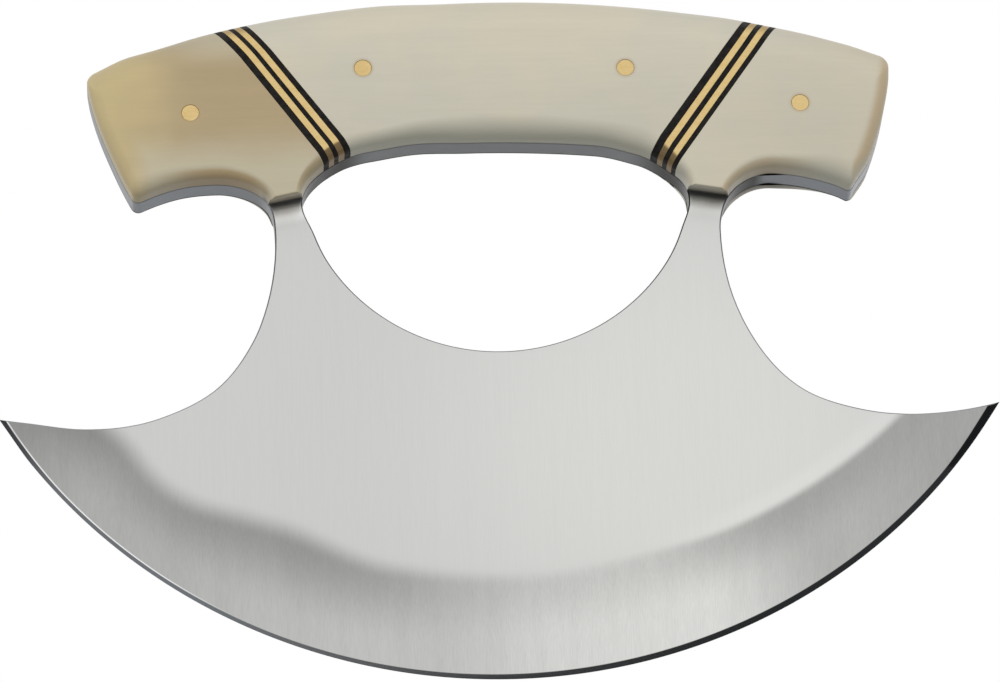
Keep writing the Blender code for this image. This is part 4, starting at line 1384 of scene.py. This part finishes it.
def bone_finish(name, tanned):
    material, tree, shader, place = new_finish(name, roughness=0.4)
    x, y, z = split(tree, place)
    facing = use_group(tree, FACING)
    down = facing["Down"]
    if tanned:
        colour = tan_stain(tree, place)
        colour = dimmed(tree, colour, ramp(tree, facing["Rightwards"], *TAN_RIM_LEVEL))
    else:
        cloud = clouds_on(tree, place, BONE_CLOUD_SCALE, *BONE_CLOUD_LEVELS)
        colour = mix_colour(tree, cloud, IVORY, COOL_IVORY)
        colour = mix_colour(tree, ramp(tree, facing["Rightwards"], *IVORY_RIM), colour, RIM_BONE)
        colour = dimmed(tree, colour, ramp(tree, x, *IVORY_END_LEVEL))

    grain = streaks_on(tree, place, GRAIN)
    colour = dimmed(tree, colour, ramp(tree, grain, *GRAIN_LEVEL))
    if not tanned:
        # Painted shade, darker towards the bottom of the ivory
        colour = dimmed(tree, colour, ramp(tree, z, *IVORY_LOW_PAINTED_SHADE))
    # Painted shade on faces that look up
    colour = dimmed(tree, colour, ramp(tree, facing["Up"], *UPWARDS_PAINTED_SHADE))
    if not tanned:
        # Cool painted shade on the downward rounding
        colour = mix_colour(tree, ramp(tree, down, *IVORY_UNDER_SHADE), colour, UNDER_SHADE_BONE)

    # Brown by the roots, partly a brown tint and partly painted shade in the crease
    brown_and_shade = spot_on(tree, place, TAN_BROWN_AND_SHADE if tanned else IVORY_BROWN_AND_SHADE)
    brown_and_shade = product(tree, brown_and_shade, ramp(tree, down, *BROWN_AND_SHADE_DOWN), TAN_BROWN_AND_SHADE_SHARE if tanned else IVORY_BROWN_AND_SHADE_SHARE)
    colour = mix_colour(tree, brown_and_shade, colour, BROWN_BONE)
    # Brown tint and painted shade in the inner root corner
    if tanned:
        facing_root_brown_and_shade = ramp(tree, facing["Rightwards"], *ROOT_BROWN_AND_SHADE_RIGHTWARDS)
        root = product(tree, spot_on(tree, place, ROOT_BROWN_AND_SHADE_SPOT), facing_root_brown_and_shade, ROOT_BROWN_AND_SHADE_SHARE)
        colour = mix_colour(tree, root, colour, ROOT_BROWN_AND_SHADE_BONE)
    # Painted shade on the rear bone's underside by the right root
    rear = product(tree, spot_on(tree, place, REAR_SHADE_SPOT), down, ramp(tree, y, *REAR_SHADE_FACE))
    colour = dimmed(tree, colour, mix_number(tree, rear, 1.0, REAR_SHADE_LEVEL))

    for pin_place in PIN_PLACES.values():
        halo = spot_on(tree, place, Spot(pin_place.x, pin_place.y, PIN_DIAMETER / 2, HALO_FADE))
        colour = mix_colour(tree, product(tree, halo, HALO_SHARE), colour, BROWN_BONE)
    from_middle = maths(tree, "ABSOLUTE", y)
    colour = mix_colour(tree, ramp(tree, from_middle, *GLUE), colour, GLUE_LINE)
    # Painted shade and shadow under each foot
    colour = painted_foot_shade(tree, place, colour, down, from_middle)
    link_finish(tree, shader, colour, ramp(tree, grain, *GRAIN_ROUGHNESS))
    link_bump(tree, shader, grain, strength=0.15, distance=0.00005)
    return material


ivory_bone = bone_finish("ivory_bone_finish", False)
tan_bone = bone_finish("tan_bone_finish", True)
print("bone finish nodes:", len(ivory_bone.node_tree.nodes), "and", len(tan_bone.node_tree.nodes))

# %% [markdown]
# ## Brass and black fibre
# The brass layers and pins were sanded flush with the bone, so fine scratches cross them. On the lower rounding
# and on the top the brass has a painted dark brown reflection. The fibre between them is nearly black, dull and
# slightly mottled.

# %% The brass and the fibre
BRASS = colour_of(212, 183, 124)
PALE_BRASS = colour_of(223, 198, 142)
# A painted dark reflection on the brass's downward rounding
DARK_REFLECTION_BRASS = colour_of(128, 108, 78)
# A painted dark reflection on the brass's top rounding
TOP_REFLECTION_BRASS = colour_of(168, 144, 98)
SCRATCHES = Streaks((0.3, 1.0, 1.0), 4200.0, 900.0, 0.4)
SCRATCHED = Fade(0.35, 0.65)
# Where the painted dark reflections on the brass lie
BRASS_DOWN_REFLECTION, BRASS_UP_REFLECTION = Fade(0.12, 0.3), Fade(0.35, 0.7)
BRASS_ROUGHNESS = Fade(0.3, 0.7, 0.3, 0.42)
FIBRE = colour_of(27, 25, 23)
DARK_FIBRE = colour_of(14, 13, 12)
FLECK_SCALE, FLECK_LEVELS = 900.0, (0.35, 0.7)
FIBRE_ROUGHNESS = Fade(0.0, 1.0, 0.5, 0.65)


def brass_finish():
    material, tree, shader, place = new_finish("brass_finish", roughness=0.34, metallic=1.0)
    scratches = streaks_on(tree, place, SCRATCHES)
    facing = use_group(tree, FACING)
    colour = mix_colour(tree, ramp(tree, scratches, *SCRATCHED), BRASS, PALE_BRASS)
    # Painted dark reflection on faces that look down
    colour = mix_colour(tree, ramp(tree, facing["Down"], *BRASS_DOWN_REFLECTION), colour, DARK_REFLECTION_BRASS)
    # Painted dark reflection on faces that look up
    colour = mix_colour(tree, ramp(tree, facing["Up"], *BRASS_UP_REFLECTION), colour, TOP_REFLECTION_BRASS)
    link_finish(tree, shader, colour, ramp(tree, scratches, *BRASS_ROUGHNESS))
    link_bump(tree, shader, scratches, strength=0.1, distance=0.00003)
    return material


def fibre_finish():
    material, tree, shader, place = new_finish("black_fibre_finish", roughness=0.55)
    shader.inputs["Specular IOR Level"].default_value = 0.15
    flecks = clouds_on(tree, place, FLECK_SCALE, *FLECK_LEVELS)
    colour = mix_colour(tree, flecks, FIBRE, DARK_FIBRE)
    link_finish(tree, shader, colour, ramp(tree, flecks, *FIBRE_ROUGHNESS))
    link_bump(tree, shader, flecks, strength=0.2, distance=0.00005)
    return material


brass, fibre = brass_finish(), fibre_finish()
print("brass and fibre finish nodes:", len(brass.node_tree.nodes), "and", len(fibre.node_tree.nodes))

# %% Each piece takes its finish, its slot and its place
def dress(piece, node, material):
    piece.data.materials.clear()
    piece.data.materials.append(material)
    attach(piece, "root")
    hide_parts(node)


dress(blade, "blade_and_tang", steel)
for name, piece in bones.items():
    dress(piece, name, tan_bone if "left" in name else ivory_bone)
for name, piece in layers.items():
    if "brass" in name:
        dress(piece, name, brass)
    else:
        dress(piece, name, fibre)
for name, piece in pins.items():
    dress(piece, name, brass)
print("dressed pieces:", 1 + len(bones) + len(layers) + len(pins))

# %% [markdown]
# ## Floor, light and camera
# The photograph is a catalogue shot on white, taken a little from below with a long lens.
# The floor shows from above only, because its underside is see-through, and the camera stands below its level.
# The sky is white where it is seen or mirrored, and weaker as a light, so colours come out as they are written.

# %% The floor
FLOOR_SIZE = 2.4
LIT_FLOOR, SEEN_FLOOR = (0.5, 0.5, 0.5, 1), (0.86, 0.86, 0.86, 1)


def floor_finish():
    material = bpy.data.materials.new("floor_finish")
    material.use_nodes = True
    tree = material.node_tree
    shader = tree.nodes["Principled BSDF"]
    shader.inputs["Roughness"].default_value = 0.9
    shader.inputs["Specular IOR Level"].default_value = 0.0
    path = add_node(tree, "ShaderNodeLightPath")
    seen = maths(tree, "MAXIMUM", path.outputs["Is Camera Ray"], path.outputs["Is Glossy Ray"])
    colour = mix_colour(tree, seen, LIT_FLOOR, SEEN_FLOOR)
    tree.links.new(colour, shader.inputs["Base Color"])
    backs = add_node(tree, "ShaderNodeNewGeometry").outputs["Backfacing"]
    clear = add_node(tree, "ShaderNodeBsdfTransparent")
    mixed = add_node(tree, "ShaderNodeMixShader", {0: backs, 1: shader.outputs[0], 2: clear.outputs[0]})
    tree.links.new(mixed.outputs[0], tree.nodes["Material Output"].inputs["Surface"])
    return material


floor_shape = bmesh.new()
bmesh.ops.create_grid(floor_shape, x_segments=2, y_segments=2, size=FLOOR_SIZE / 2)
floor_mesh = bpy.data.meshes.new("studio_floor")
floor_shape.to_mesh(floor_mesh)
floor_shape.free()
floor = into_scene("studio_floor", floor_mesh)
floor.data.materials.append(floor_finish())

# %% The light
SKY_STRENGTH = 0.6
LAMP_SIZE = 1.2
Lamp = namedtuple("Lamp", "name place power")
LAMPS = (
    Lamp("key_lamp", (-0.45, -1.38, 0.72), 7.6),
    Lamp("side_lamp", (0.70, -1.24, 0.68), 5.6),
)
LAMP_AIM = Vector((0, 0, 0.07))

world = bpy.data.worlds.new("studio_sky")
bpy.context.scene.world = world
world.use_nodes = True
sky = world.node_tree
path = add_node(sky, "ShaderNodeLightPath")
seen = maths(sky, "MAXIMUM", path.outputs["Is Camera Ray"], path.outputs["Is Glossy Ray"])
seen = maths(sky, "MAXIMUM", seen, path.outputs["Is Transmission Ray"])
strength = maths(sky, "MULTIPLY_ADD", seen, 1 - SKY_STRENGTH, SKY_STRENGTH)
sky.nodes["Background"].inputs["Color"].default_value = (1, 1, 1, 1)
sky.links.new(strength, sky.nodes["Background"].inputs["Strength"])

for lamp in LAMPS:
    light = bpy.data.lights.new(lamp.name, "AREA")
    light.size = LAMP_SIZE
    light.energy = lamp.power
    placed = bpy.data.objects.new(lamp.name, light)
    placed.location = lamp.place
    placed.rotation_euler = (LAMP_AIM - Vector(lamp.place)).to_track_quat("-Z", "Y").to_euler()
    placed.visible_glossy = False
    bpy.context.scene.collection.objects.link(placed)

# %% The camera
CAMERA_AIM = Vector((0, 0, 0.065))
CAMERA_DISTANCE = 1.5
CAMERA_TURN = math.radians(-2.5)
CAMERA_RISE = math.radians(-20.8)
CAMERA_ROLL = math.radians(-1.926)
CAMERA_LENS = 300.55
CAMERA_SHIFT = -0.0051

backwards = Vector((
    math.sin(CAMERA_TURN) * math.cos(CAMERA_RISE),
    -math.cos(CAMERA_TURN) * math.cos(CAMERA_RISE),
    math.sin(CAMERA_RISE),
))
right = Vector((math.cos(CAMERA_TURN), math.sin(CAMERA_TURN), 0))
above = backwards.cross(right)
rolled_right = right * math.cos(CAMERA_ROLL) + above * math.sin(CAMERA_ROLL)
rolled_above = above * math.cos(CAMERA_ROLL) - right * math.sin(CAMERA_ROLL)
camera_data = bpy.data.cameras.new("photograph_camera")
camera_data.lens = CAMERA_LENS
camera_data.sensor_width = 36
camera_data.shift_y = CAMERA_SHIFT
camera = bpy.data.objects.new("photograph_camera", camera_data)
turned = Matrix((rolled_right, rolled_above, backwards)).transposed().to_4x4()
camera.matrix_world = Matrix.Translation(CAMERA_AIM + backwards * CAMERA_DISTANCE) @ turned
bpy.context.scene.collection.objects.link(camera)
bpy.context.scene.camera = camera
bpy.context.scene.view_settings.view_transform = "Standard"
print("camera at", [round(value, 4) for value in camera.matrix_world.translation])
